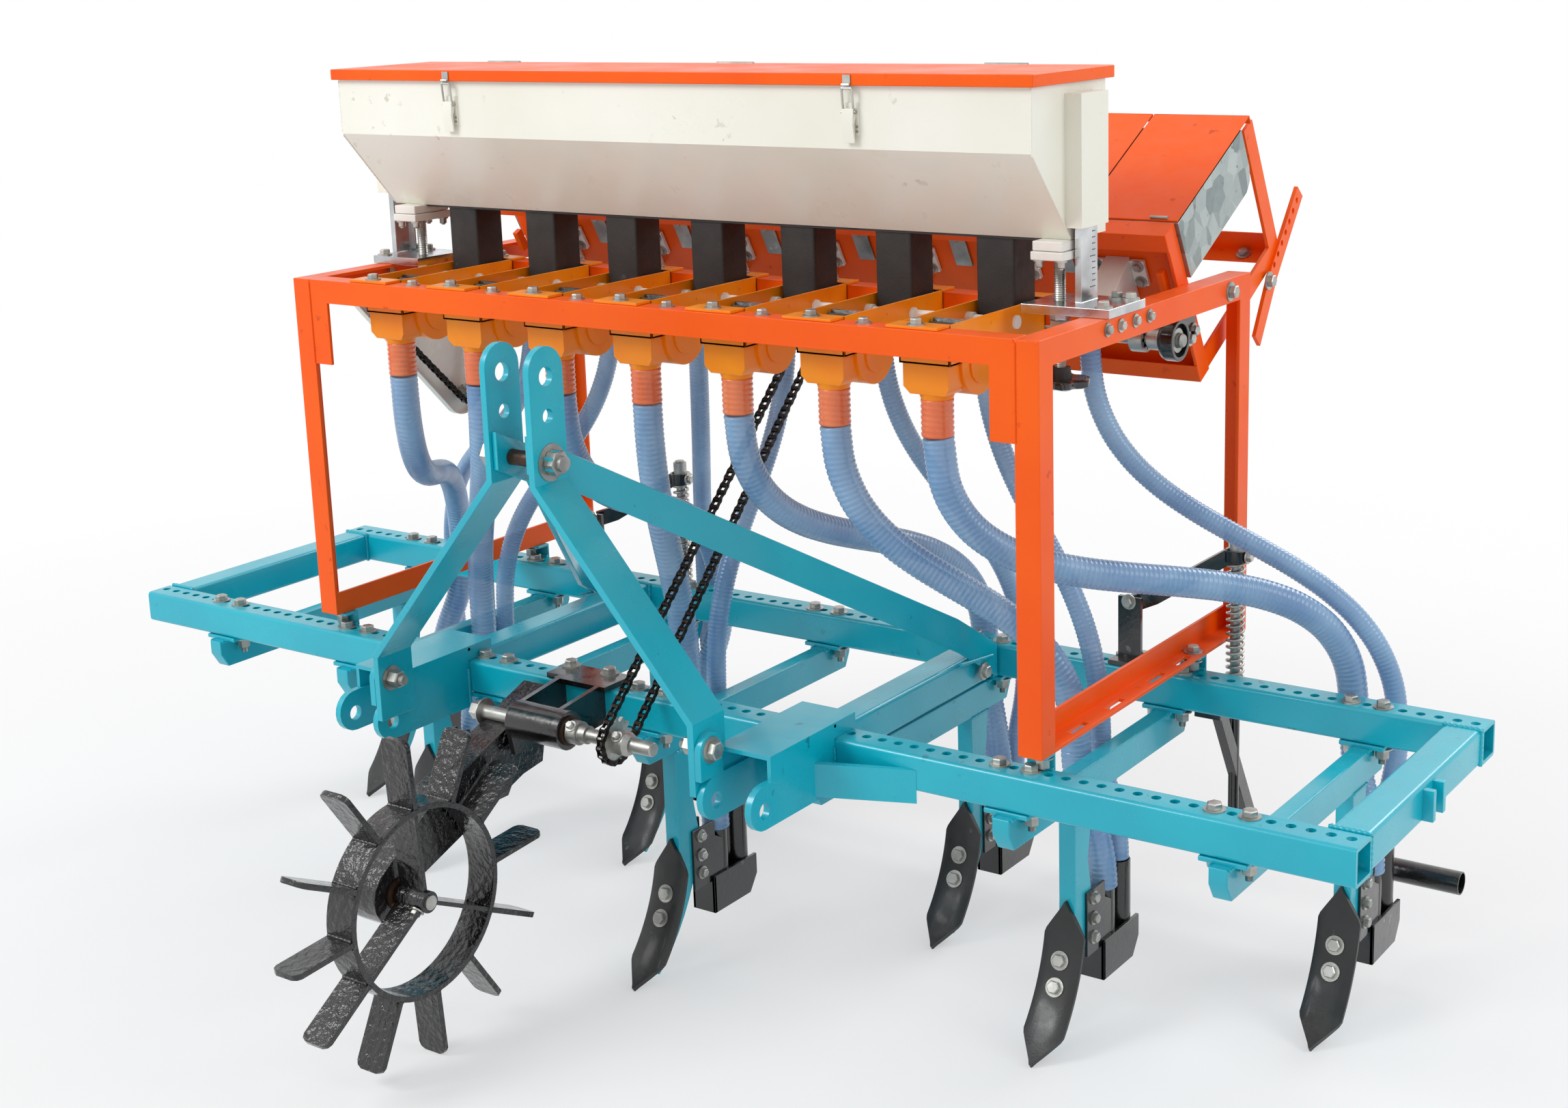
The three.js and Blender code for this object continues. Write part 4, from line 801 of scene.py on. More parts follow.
# ---- seed box ----
# A folded sheet-steel box with a sloping front, painted cream and left bare of any marking.
# Its flat orange lid swings up on three rear hinges and is held down by two toggle latches in front.
BOX_X, BOX_HALF, BOX_RIM, BOX_BEND, BOX_BOTTOM, BOX_FRONT, BOX_REAR = -26, 607, 1298, 1204, 1086, 118, 316
cream_paint = surface("cream_paint", tone(236, 234, 218), tone(248, 247, 236), (0.24, 0.4), 240, 0.12,
                      patch=3, coat=0.3, dust=0.04, scuff=tone(206, 200, 182))
shaped("seed_box", "seed_box_shell", cream_paint, "seed_box", edge=1.4)
shaped("seed_box_lid", "seed_box_lid_sheet", orange_paint, "seed_box_lid", edge=1.6)
shape = bmesh.new()
for side in (-1, 1):
    x = BOX_X + side * (BOX_HALF + 0.2)
    weld(shape, [(x, BOX_FRONT + 1, BOX_BEND + 3), (x, BOX_FRONT + 1, BOX_RIM - 14)], 1.4)
    weld(shape, [(x, BOX_FRONT + 2, BOX_BEND - 2), (x, 218, BOX_BOTTOM + 3)], 1.4)
piece("seed_box_seams", shape, cream_paint, "seed_box", sharp=60)

latches, bails, keepers, hinge_leaves, hinge_caps = (bmesh.new() for _ in range(5))
for x in (-398, 315):
    block(latches, x - 13, x + 13, BOX_FRONT - 2, BOX_FRONT + 0.3, 1222, 1264)
    lever = ((1, 1258), (9, 1256), (11, 1236), (7, 1212), (5, 1213), (6, 1236), (1, 1250))
    prism(latches, [(BOX_FRONT - out, z) for out, z in lever], x - 9, x + 9)
    rod(bails, (x - 11, BOX_FRONT - 5, 1252), (x + 11, BOX_FRONT - 5, 1252), 2.6, 14)
    for side in (-1, 1):
        rod(bails, (x + side * 8, BOX_FRONT - 6, 1250), (x + side * 8, BOX_FRONT - 9, 1283), 1.5, 10)
        for z in (1227, 1233):
            rod(bails, (x + side * 10.5, BOX_FRONT - 1, z), (x + side * 10.5, BOX_FRONT - 3.2, z), 1.8, 10)
    rod(bails, (x - 8, BOX_FRONT - 9, 1283), (x + 8, BOX_FRONT - 9, 1283), 1.5, 10)
    hook = ((8.3, 1300), (9.6, 1300), (9.6, 1287), (12.5, 1289), (13.2, 1287), (8.3, 1284))
    prism(keepers, [(BOX_FRONT - out, z) for out, z in hook], x - 6, x + 6)
for x in (-480, BOX_X, 428):
    block(hinge_leaves, x - 33, x + 33, BOX_REAR - 0.2, BOX_REAR + 1.6, BOX_RIM - 44, BOX_RIM - 14)
    rod(hinge_caps, (x - 33, BOX_REAR + 9, BOX_RIM + 2), (x + 33, BOX_REAR + 9, BOX_RIM + 2), 4, 18)
    for dx in (-22, 0, 22):
        rod(hinge_leaves, (x + dx, BOX_REAR + 1, BOX_RIM - 32), (x + dx, BOX_REAR + 3, BOX_RIM - 32), 3, 14)
piece("lid_latches", latches, cream_paint, "seed_box", edge=0.5)
piece("latch_bails", bails, zinc_steel, "seed_box")
piece("lid_keepers", keepers, zinc_steel, "seed_box_lid")
piece("lid_hinge_leaves", hinge_leaves, zinc_steel, "seed_box")
piece("lid_hinge_knuckles", hinge_caps, zinc_steel, "seed_box_lid")

# ---- outlets and lifting screws ----
# Seven square black chutes drop seed from the box floor into the cups. At each end a nylon block under
# the box carries a threaded rod with a lobed hand knob, which lifts the whole box to set the seed rate.
CHUTE, CHUTE_Y, CHUTE_BOTTOM, CHUTE_TOP = 58, 254, 965, 1085.7
JACK_OFFSET, JACK_Y = 575, 229
chute_plastic = surface("chute_rubber", tone(24, 23, 22), tone(44, 40, 37), (0.42, 0.62), 380, 0.25, patch=16,
                        dust=0.12, scuff=tone(74, 70, 66))
chutes = bmesh.new()
for near, far in ((CHUTE_Y - 32, CHUTE_Y - CHUTE / 2 + 1), (CHUTE_Y + CHUTE / 2 - 1, CHUTE_Y + 32)):
    block(chutes, CUP_X - JACK_OFFSET + 23, CUP_X + JACK_OFFSET - 23, near, far, CHUTE_TOP - 3, CHUTE_TOP)
for k in ROWS:
    x = CUP_X + k * CUP_PITCH
    outside = rounded_square((x, CHUTE_Y), CHUTE / 2, 4)
    inside = rounded_square((x, CHUTE_Y), CHUTE / 2 - 3, 2)
    skin(chutes, [[Vector((a, b, z)) for a, b in outline] for outline, z in
                  ((outside, CHUTE_BOTTOM), (outside, CHUTE_TOP - 1), (inside, CHUTE_TOP - 1),
                   (inside, CHUTE_BOTTOM))], closed=True)
outlets = piece("seed_chutes", chutes, chute_plastic, "seed_box")
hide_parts("box_outlets")

jack_blocks, jack_rods, jack_knobs, jack_hubs = (bmesh.new() for _ in range(4))
for side in (-1, 1):
    x = CUP_X + side * JACK_OFFSET
    block(jack_blocks, x - 22, x + 22, JACK_Y - 34, JACK_Y + 41, BOX_BOTTOM - 13, BOX_BOTTOM - 0.3)
    block(jack_blocks, x - 24, x + 24, JACK_Y - 36, JACK_Y + 43, BOX_BOTTOM - 25, BOX_BOTTOM - 13.6)
    rings = []
    for i in range(56):
        z = 900 + i * 2.9
        rings += [ring((x, JACK_Y, z), (0, 0, 1), 6.9, 18), ring((x, JACK_Y, z + 1.1), (0, 0, 1), 8, 18)]
    skin(jack_rods, rings)
    for dx, dy in ((-16, -26), (16, -26), (-16, 33), (16, 33)):
        nut(jack_rods, (x + dx, JACK_Y + dy, BOX_BOTTOM - 25), (0, 0, -1), 10, 4)
    lobes = []
    for z, size in ((891, 0.86), (893.5, 1.0), (900.5, 1.0), (903, 0.86)):
        outline = []
        for i in range(84):
            turn = 2 * math.pi * i / 84
            reach = size * (36.5 + 4.5 * math.cos(7 * turn))
            outline.append(Vector((x + reach * math.cos(turn), JACK_Y + reach * math.sin(turn), z)))
        lobes.append(outline)
    skin(jack_knobs, lobes)
    rod(jack_hubs, (x, JACK_Y, 902), (x, JACK_Y, 917), 15, 32, 13)
    rod(jack_hubs, (x, JACK_Y, 889), (x, JACK_Y, 892), 14, 32)
piece("jack_blocks", jack_blocks, white_nylon, "seed_box", edge=1.5)
piece("jack_rods", jack_rods, zinc_steel, "seed_box", sharp=60)
piece("jack_knobs", jack_knobs, black_paint, "seed_box", sharp=60)
piece("jack_hubs", jack_hubs, chute_plastic, "seed_box")

# ---- height guides ----
# A steel base plate across each side rail holds the lifting screw's captive nut and a bright channel
# that slides in the seed box's end sleeve, with plain tick marks for its height.
bright_steel = surface("bright_steel", tone(176, 178, 180), tone(214, 216, 217), (0.12, 0.25), 900, 0.12,
                       patch=20, metal=1.0, scuff=tone(140, 140, 138))
guide_bolts, ticks = bmesh.new(), bmesh.new()
for side in (-1, 1):
    name = "height_guide_right" if side > 0 else "height_guide_left"
    shaped(name, f"{name}_steel", bright_steel, "frame", edge=0.7)
    web = BOX_X + side * (BOX_HALF + 14)
    face = web + side * 1.5
    for i in range(20):
        long = 14 if i % 5 == 0 else 8
        block(ticks, min(face, face + side * 0.3), max(face, face + side * 0.3),
              JACK_Y + 28 - long, JACK_Y + 28, 1022 + i * 8, 1023.4 + i * 8)
    edge_x = side * 655
    for dx, dy in ((-14, -34), (-14, 42), (-34, 42)):
        bolt(guide_bolts, (edge_x + side * dx, JACK_Y + dy, 1005.3), (0, 0, 1), 7, 14)
    for y in (JACK_Y - 30, JACK_Y + 42):
        nut(guide_bolts, (edge_x - side * 21, y, STAND_TOP - 5.2), (0, 0, -1), 12, 5)
    hexagon_head(guide_bolts, (CUP_X + side * JACK_OFFSET, JACK_Y, STAND_TOP - 13), (0, 0, -1), 12, 26)
piece("height_guide_bolts", guide_bolts, zinc_steel, "frame")
piece("height_ticks", ticks, black_paint, "frame")

# ---- planter ----
# A second, tilted seed box behind the first: a bent orange channel carries seven galvanised hoppers with
# hinged lids, a white funnel under each, and two black bearings for the metering shaft.
PLANTER_Y, PLANTER_Z, PLANTER_TILT = 440, 1076, math.radians(28)
PLANTER_HALF, SHEET, FACE_U, FOOT_V = 614.7, 2, 14, 252
METER_Y, METER_Z = 430, 925
BIN_SEAMS = (-620, -467, -280, -93, 93, 280, 467, 620)


def lean(u, v):
    """From the planter's own plane (u up the lid, v down through the hopper) to (y, z)."""
    return (PLANTER_Y + u * math.cos(PLANTER_TILT) + v * math.sin(PLANTER_TILT),
            PLANTER_Z + u * math.sin(PLANTER_TILT) - v * math.cos(PLANTER_TILT))


def slab(shape, x0, x1, u0, u1, v0, v1):
    prism(shape, [lean(u0, v1), lean(u1, v1), lean(u1, v0), lean(u0, v0)], x0, x1)


LEAN_FRONT = Vector((0, -math.cos(PLANTER_TILT), -math.sin(PLANTER_TILT)))
channel, funnels, bearings, seals, planter_bolts, strips = (bmesh.new() for _ in range(6))
prism(channel, [lean(u, v) for u, v in (
    (-18, FOOT_V), (FACE_U, FOOT_V), (FACE_U, 0), (-18, 0), (-18, 28), (SHEET - 18, 28), (SHEET - 18, SHEET),
    (FACE_U - SHEET, SHEET), (FACE_U - SHEET, FOOT_V - SHEET), (SHEET - 18, FOOT_V - SHEET),
    (SHEET - 18, FOOT_V - 28), (-18, FOOT_V - 28))], -PLANTER_HALF, PLANTER_HALF)
for side in (-1, 1):
    bar = sorted((side * PLANTER_HALF, side * (PLANTER_HALF - 38)))
    web = sorted((side * PLANTER_HALF, side * (PLANTER_HALF - 5)))
    slab(channel, *bar, SHEET - 18.5, 2 * SHEET - 18, 1, FOOT_V - 1)
    slab(channel, *web, SHEET - 18.5, FACE_U - 1, 1, FOOT_V - 1)
front_channel = piece("planter_front_channel", channel, orange_paint, "frame", edge=0.9)
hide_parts("planter_front")
bits = bmesh.new()
for side in (-1, 1):
    for v in (150, 178):
        y, z = lean(-15, v)
        rod(bits, Vector((side * (PLANTER_HALF - 20), y, z)) + LEAN_FRONT * 6,
            Vector((side * (PLANTER_HALF - 20), y, z)) - LEAN_FRONT * 6, 6, 20)
    y0, z0 = lean(-24, 60)
    y1, z1 = lean(-10, 60)
    y2, z2 = lean(-10, 96)
    y3, z3 = lean(-24, 96)
    x = side * (PLANTER_HALF - 20)
    prism(bits, [(y0, z0), (y1, z1), (y2, z2), (y3, z3)], x - 5, x + 5)
drill_out(front_channel, bits)

for k in ROWS:
    x = k * 172
    throat = [(378, 943), (408, 943), (434, 947), lean(12, 130), lean(12, 60), (460, 1013)]
    funnel_middle = (415, 975)
    rings = []
    for half, grow in ((20, 0.9), (18, 1.0), (-18, 1.0), (-20, 0.9)):
        rings.append([Vector((x + half, funnel_middle[0] + (y - funnel_middle[0]) * grow,
                              funnel_middle[1] + (z - funnel_middle[1]) * grow)) for y, z in throat])
    skin(funnels, rings)
    for side in (-1, 1):
        ear = [lean(4, 62), lean(10.6, 62), lean(10.6, 104), lean(4, 104)]
        prism(funnels, ear, x + side * 20 - (side < 0) * 22, x + side * 20 + (side > 0) * 22)
        for v in (70, 96):
            y, z = lean(4, v)
            bolt(planter_bolts, (x + side * 32, y, z), LEAN_FRONT, 5, 11)
    pipe(funnels, (x, 393, FUNNEL_END + 0.3), (x, 393, 946), 13, 2, 24)
    if k < 3:
        slab(strips, x + 72, x + 100, FACE_U - 6, FACE_U - 3.2, 24, 92)
        y, z = lean(FACE_U - 6, 40)
        bolt(planter_bolts, (x + 86, y, z), LEAN_FRONT, 5, 12)
for side in (-1, 1):
    x0 = side * (PLANTER_HALF - 1)
    rod(bearings, (x0, METER_Y, METER_Z), (x0 + side * 6, METER_Y, METER_Z), 26, 40, 29)
    pipe(bearings, (x0 + side * 5.5, METER_Y, METER_Z), (x0 + side * 23, METER_Y, METER_Z), 29, 6, 40)
    foot = sorted((x0 + side * 1, x0 + side * 12))
    prism(bearings, [(METER_Y - 10, METER_Z - 26), (METER_Y + 60, METER_Z - 16), (METER_Y + 78, METER_Z - 6),
                     (METER_Y + 66, METER_Z + 30), (METER_Y + 5, METER_Z + 26)], *foot)
    pipe(seals, (x0 + side * 5, METER_Y, METER_Z), (x0 + side * 19, METER_Y, METER_Z), 17, 6.2, 36)
    for y, z in ((METER_Y + 62, METER_Z + 4), (METER_Y + 50, METER_Z - 6)):
        bolt(planter_bolts, (x0 + side * 12, y, z), (side, 0, 0), 6, 13)
piece("planter_funnels", funnels, white_nylon, "frame", edge=1.2)
piece("planter_bearings", bearings, black_paint, "frame", edge=1.2)
piece("planter_bearing_rings", seals, zinc_steel, "frame")
piece("planter_slides", strips, zinc_steel, "frame", edge=0.5)

for side in (-1, 1):
    name = "planter_side_right" if side > 0 else "planter_side_left"
    plate = shaped(name, f"{name}_plates", orange_paint, "frame", edge=0.8)
    bits = bmesh.new()
    low = Vector((0, *lean(262, 252)))
    high = Vector((0, *lean(394, 206)))
    arm_x = side * (PLANTER_HALF - 1)
    for i in range(7):
        y, z = low.lerp(high, (i + 0.25) / 7)[1:]
        rod(bits, (arm_x - 14, y, z), (arm_x + 14, y, z), 4.6, 16)
    drill_out(plate, bits)
    y, z = lean(238, 259)
    bolt(planter_bolts, (side * (PLANTER_HALF + 2.2), y, z), (side, 0, 0), 8, 17)
shaped("planter_rear_rail", "planter_rear_angle", orange_paint, "frame", edge=0.8)
for x in (-560, -374, -187, 0, 187, 374, 560):
    y, z = lean(286, FOOT_V - 4)
    bolt(planter_bolts, (x, y, z), (0, -math.sin(PLANTER_TILT), math.cos(PLANTER_TILT)), 6, 14)
piece("planter_bolts", planter_bolts, zinc_steel, "frame")

galvanised = surface("spangled_galvanised_steel", tone(126, 138, 138), tone(186, 196, 194), (0.25, 0.5),
                     60, 0.2, patch=26, metal=0.75, dust=0.1, scuff=tone(112, 116, 114))
cells = galvanised.node_tree.nodes.new("ShaderNodeTexVoronoi")
cells.inputs["Scale"].default_value = 34
galvanised_links = galvanised.node_tree.links
for node in galvanised.node_tree.nodes:
    if node.type == "TEX_COORD":
        galvanised_links.new(node.outputs["Object"], cells.inputs["Vector"])
for node in galvanised.node_tree.nodes:
    if node.type == "VALTORGB":
        galvanised_links.new(cells.outputs["Color"], node.inputs["Fac"])
        node.color_ramp.elements[0].position, node.color_ramp.elements[1].position = 0.05, 0.95
shaped("planter_hoppers", "planter_hopper_sheet", galvanised, "frame", edge=0.6)
shape = bmesh.new()
lid_pins = bmesh.new()
for left, right in zip(BIN_SEAMS, BIN_SEAMS[1:]):
    slab(shape, left + 1.2, right - 1.2, 18, 283, -1, 0.5)
    slab(shape, left + 1.2, right - 1.2, 281, 283.4, -1, 12)
    slab(shape, left + 1.2, right - 1.2, 17, 19, -1, 3)
    for x in (left + 30, right - 30):
        y, z = lean(21, -2.4)
        rod(lid_pins, (x - 13, y, z), (x + 13, y, z), 2.6, 14)
lids = piece("planter_lid_sheets", shape, orange_paint, "planter_lid", edge=0.8)
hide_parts("planter_lids")
piece("planter_lid_hinges", lid_pins, zinc_steel, "planter_lid")

# ---- metering shaft ----
# A bright round shaft through both planter bearings turns the planter plates. It carries collars,
# toothed pinions over each funnel and a chain sprocket near the middle and at the left end.
CHAIN_PITCH, DRIVE_CHAIN_X, CROSS_CHAIN_X = 12.7, 39, -675


def sprocket_wheel(shape, x, y, z, teeth, thick=5.6, bore=9.8, phase=0.0):
    """A chain sprocket with rounded tooth gaps, flat across X."""
    pitch_radius = CHAIN_PITCH / 2 / math.sin(math.pi / teeth)
    tooth = ((0.0, -3.6), (0.16, -3.1), (0.3, 0.4), (0.42, 4.0), (0.58, 4.0), (0.7, 0.4), (0.84, -3.1))
    profile = []
    for i in range(teeth):
        for part, reach in tooth:
            turn, radius = phase + 2 * math.pi * (i + part) / teeth, pitch_radius + reach
            profile.append((y + radius * math.cos(turn), z + radius * math.sin(turn)))
    inner = [(y + bore * math.cos(phase + 2 * math.pi * i / len(profile)),
              z + bore * math.sin(phase + 2 * math.pi * i / len(profile))) for i in range(len(profile))]
    left, right = x - thick / 2, x + thick / 2
    faces = ((left, profile), (right, profile), (right, inner), (left, inner))
    skin(shape, [[Vector((a, b, c)) for b, c in outline] for a, outline in faces], closed=True)
    return pitch_radius


shape = bmesh.new()
rod(shape, (-684, METER_Y, METER_Z), (639, METER_Y, METER_Z), 10, 32)
rod(shape, (639, METER_Y, METER_Z), (642, METER_Y, METER_Z), 10, 32, 8)
sprocket_wheel(shape, DRIVE_CHAIN_X, METER_Y, METER_Z, 11)
rod(shape, (CROSS_CHAIN_X - 2.8, METER_Y, METER_Z), (CROSS_CHAIN_X + 2.8, METER_Y, METER_Z), 18, 36)
rod(shape, (DRIVE_CHAIN_X + 2, METER_Y, METER_Z), (DRIVE_CHAIN_X + 16, METER_Y, METER_Z), 15, 32)
for side in (-1, 1):
    rod(shape, (side * 592, METER_Y, METER_Z), (side * 608, METER_Y, METER_Z), 16, 32)
    rod(shape, (side * 566, METER_Y, METER_Z), (side * 586, METER_Y, METER_Z), 20, 36)
for k in ROWS:
    x = k * 172 + 63
    teeth = [(METER_Y + (16 if i % 4 in (0, 1) else 12) * math.cos(math.pi * i / 16),
              METER_Z + (16 if i % 4 in (0, 1) else 12) * math.sin(math.pi * i / 16)) for i in range(32)]
    prism(shape, teeth, x - 7, x + 7)
    rod(shape, (x - 15, METER_Y, METER_Z), (x - 7, METER_Y, METER_Z), 14, 28)
meter_shaft = piece("metering_shaft", shape, zinc_steel, "meter_shaft")
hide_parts("meter_shaft")

# ---- chains and guard ----
# Half-inch roller chain takes the drive up from the wheel shaft to the planter, and a second chain behind
# the cream guard at the left end carries it on to the seed cups' feed shaft.
DRIVE_Y, DRIVE_Z = -95, 406
chain_black = surface("oiled_chain", tone(22, 20, 19), tone(52, 47, 43), (0.22, 0.42), 500, 0.2,
                      patch=60, metal=0.8, scuff=tone(96, 90, 84))


def loop_round(wheels):
    """The line a chain takes round its wheels, counter-clockwise seen from the right, as (y, z) points."""
    line = []
    count = len(wheels)

    def turn(here, there):
        heading = math.atan2(there[1] - here[1], there[0] - here[0])
        gap = math.hypot(there[0] - here[0], there[1] - here[1])
        return heading - math.pi / 2 + math.asin((here[2] - there[2]) / gap)

    for i, (y, z, radius) in enumerate(wheels):
        start = turn(wheels[i - 1], wheels[i])
        end = turn(wheels[i], wheels[(i + 1) % count])
        while end < start:
            end += 2 * math.pi
        for step in range(25):
            angle = start + (end - start) * step / 24
            line.append((y + radius * math.cos(angle), z + radius * math.sin(angle)))
    return line


def roller_chain(shape, wheels, x):
    """Links of two kinds of side plate on pins and rollers, one pin every pitch round the loop."""
    line = loop_round(wheels)
    lengths = [0.0]
    closed = line + line[:1]
    for near, far in zip(closed, closed[1:]):
        lengths.append(lengths[-1] + math.dist(near, far))
    count = 2 * round(lengths[-1] / CHAIN_PITCH / 2)
    pins, step = [], 0
    for i in range(count):
        place = lengths[-1] * i / count
        while lengths[step + 1] < place:
            step += 1
        share = (place - lengths[step]) / (lengths[step + 1] - lengths[step])
        pins.append(Vector((x, *(a + (b - a) * share for a, b in zip(closed[step], closed[step + 1])))))
    for i, pin in enumerate(pins):
        after = pins[(i + 1) % count]
        rod(shape, pin + Vector((-3.6, 0, 0)), pin + Vector((3.6, 0, 0)), 3.9, 10)
        rod(shape, pin + Vector((-6.6, 0, 0)), pin + Vector((6.6, 0, 0)), 1.8, 8)
        along = (after - pin).normalized()
        up = Vector((0, -along.z, along.y))
        middle = (pin + after) / 2
        outline = [pin + up * 3.9, pin - along * 3.4 + up * 2.2, pin - along * 3.4 - up * 2.2, pin - up * 3.9,
                   middle - up * 2.9, after - up * 3.9, after + along * 3.4 - up * 2.2,
                   after + along * 3.4 + up * 2.2, after + up * 3.9, middle + up * 2.9]
        offset = 4.2 if i % 2 else 5.4
        for side in (-1, 1):
            skin(shape, [[point + Vector((side * (offset + part) , 0, 0)) for point in outline]
                         for part in (-0.5, 0.5)])


METER_RADIUS = CHAIN_PITCH / 2 / math.sin(math.pi / 11)
DRIVE_RADIUS = CHAIN_PITCH / 2 / math.sin(math.pi / 15)
shape = bmesh.new()
roller_chain(shape, [(DRIVE_Y, DRIVE_Z, DRIVE_RADIUS), (METER_Y, METER_Z, METER_RADIUS)], DRIVE_CHAIN_X)
drive_chain = piece("drive_roller_chain", shape, chain_black, "frame")
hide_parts("drive_chain")

CROSS_FRONT, CROSS_FOOT = (195, 947), (398, 743)
shape = bmesh.new()
cross_circles = [(*CROSS_FOOT, 18.5), (METER_Y, METER_Z, METER_RADIUS), (*CROSS_FRONT, 20.5)]
roller_chain(shape, cross_circles, CROSS_CHAIN_X)
piece("cross_roller_chain", shape, chain_black, "frame")
shape = bmesh.new()
sprocket_wheel(shape, CROSS_CHAIN_X, *CROSS_FRONT, 10, bore=7)
sprocket_wheel(shape, CROSS_CHAIN_X, *CROSS_FOOT, 9, bore=7)
for y, z in (CROSS_FRONT, CROSS_FOOT):
    rod(shape, (CROSS_CHAIN_X - 24, y, z), (CROSS_CHAIN_X + 8, y, z), 7.4, 24)
    rod(shape, (CROSS_CHAIN_X + 2, y, z), (CROSS_CHAIN_X + 12, y, z), 12, 28)
rod(shape, (CROSS_CHAIN_X, *CROSS_FRONT), (CUP_X - 3 * CUP_PITCH - CUP_HALF, *CROSS_FRONT), 7, 24)
piece("cross_sprockets", shape, zinc_steel, "frame")

guard = [(*CROSS_FOOT, 40), (METER_Y + 4, METER_Z, 46), (CROSS_FRONT[0] + 4, CROSS_FRONT[1], 34)]
shape = bmesh.new()
prism(shape, loop_round(guard), -702, -700.2)
rim_outside, rim_inside = loop_round(guard), loop_round([(y, z, radius - 1.8) for y, z, radius in guard])
skin(shape, [[Vector((a, y, z)) for y, z in outline] for a, outline in (
    (-701, rim_outside), (-690, rim_outside), (-690, rim_inside), (-701, rim_inside))], closed=True)
block(shape, -700, -650.3, 300, 330, 970, 974)
block(shape, -655, -650.3, 300, 330, 956, 974)
chain_guard = piece("chain_guard_cover", shape, cream_paint, "frame", edge=0.6)
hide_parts("chain_guard")
shape = bmesh.new()
for y, z in (CROSS_FRONT, CROSS_FOOT):
    bolt(shape, (-702, y, z), (-1, 0, 0), 6, 14)
bolt(shape, (-675, 315, 974), (0, 0, 1), 6, 13)
piece("guard_bolts", shape, zinc_steel, "frame")

# ---- ground wheel ----
# A black spiked wheel on a trailing arm turns the drive shaft. Its bracket bolts over the front beam,
# and thick glossy paint has run and pitted over the flat lugs.
lumpy_black = surface("thick_black_paint", tone(5, 5, 7), tone(16, 16, 19), (0.08, 0.24), 95, 1.0, patch=12,
                      coat=0.5, dust=0.03, scuff=tone(70, 64, 56))
lumpy_black.node_tree.nodes["Bump"].inputs["Distance"].default_value = 0.004
WHEEL_X, WHEEL_Y, WHEEL_Z, WHEEL_RIM, WHEEL_HALF, LUGS = -120, -336, 232, 135, 24, 12
ARM_RIGHT, ARM_LEFT = WHEEL_X - WHEEL_HALF - 6, WHEEL_X - WHEEL_HALF - 56
shaped("wheel_bracket", "wheel_bracket_plates", black_paint, "frame", edge=1.0)
shaped("wheel_arm", "wheel_arm_channel", lumpy_black, "wheel_arm", edge=1.2)
shape = bmesh.new()
for x in (-155, -82):
    bolt(shape, (x, 40, 443), (0, 0, 1))
    nut(shape, (x, 40, 385), (0, 0, -1))
piece("wheel_bracket_bolts", shape, zinc_steel, "frame")


def turned(y, z, degrees):
    angle = math.radians(degrees)
    across, up = math.cos(angle), math.sin(angle)
    return (WHEEL_Y + y * across - z * up, WHEEL_Z + y * up + z * across)


shape = bmesh.new()
rings = []
for i in range(72):
    turn = 2 * math.pi * i / 72
    section = ((-WHEEL_HALF, WHEEL_RIM), (WHEEL_HALF, WHEEL_RIM), (WHEEL_HALF, WHEEL_RIM - 8),
               (-WHEEL_HALF, WHEEL_RIM - 8))
    rings.append([Vector((WHEEL_X + a, WHEEL_Y + r * math.cos(turn), WHEEL_Z + r * math.sin(turn)))
                  for a, r in section])
skin(shape, rings, closed=True)
for i in range(LUGS):
    degrees = 3.5 + 360 * i / LUGS
    outline = [(-WHEEL_HALF, 133), (WHEEL_HALF, 133), (WHEEL_HALF, 222), (WHEEL_HALF - 3, 228),
               (WHEEL_HALF - 10, 231.4), (-WHEEL_HALF + 10, 231.4), (-WHEEL_HALF + 3, 228),
               (-WHEEL_HALF, 222)]
    skin(shape, [[Vector((WHEEL_X + a, *turned(y, b, degrees))) for a, b in outline] for y in (-4, 4)])
    for side in (-1, 1):
        weld(shape, [(WHEEL_X - WHEEL_HALF + 2, *turned(side * 5, 135, degrees)),
                     (WHEEL_X + WHEEL_HALF - 2, *turned(side * 5, 135, degrees))], 2.6)
for i in range(3):
    degrees = 3.5 + 120 * i
    outline = [(-WHEEL_HALF + 1, 8), (WHEEL_HALF - 1, 8), (WHEEL_HALF - 1, 132), (-WHEEL_HALF + 1, 132)]
    skin(shape, [[Vector((WHEEL_X + a, *turned(y, b, degrees))) for a, b in outline] for y in (-3, 3)])
    for side in (-1, 1):
        weld(shape, [(WHEEL_X - WHEEL_HALF + 3, *turned(side * 4, 128, degrees)),
                     (WHEEL_X + WHEEL_HALF - 3, *turned(side * 4, 128, degrees))], 2.2)
rod(shape, (WHEEL_X - WHEEL_HALF, WHEEL_Y, WHEEL_Z), (WHEEL_X + WHEEL_HALF + 4, WHEEL_Y, WHEEL_Z), 15, 36)
wheel = piece("spiked_wheel", shape, lumpy_black, "ground_wheel", edge=0.9)
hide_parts("ground_wheel")
shape = bmesh.new()
rod(shape, (ARM_LEFT - 14, WHEEL_Y, WHEEL_Z), (WHEEL_X + WHEEL_HALF + 7, WHEEL_Y, WHEEL_Z), 10, 32)
nut(shape, (ARM_LEFT - 3, WHEEL_Y, WHEEL_Z), (-1, 0, 0), 24, 3)
slope = math.radians(40)
bolt(shape, (WHEEL_X + 16, *turned(-15, 0, 40)), (0, -math.cos(slope), -math.sin(slope)), 6, 12)
piece("wheel_axle", shape, zinc_steel, "ground_wheel")
shape = bmesh.new()
pipe(shape, (ARM_RIGHT - 1, WHEEL_Y, WHEEL_Z), (ARM_RIGHT + 3, WHEEL_Y, WHEEL_Z), 22, 11.2, 36)
piece("wheel_seal", shape, rust_brown, "wheel_arm")

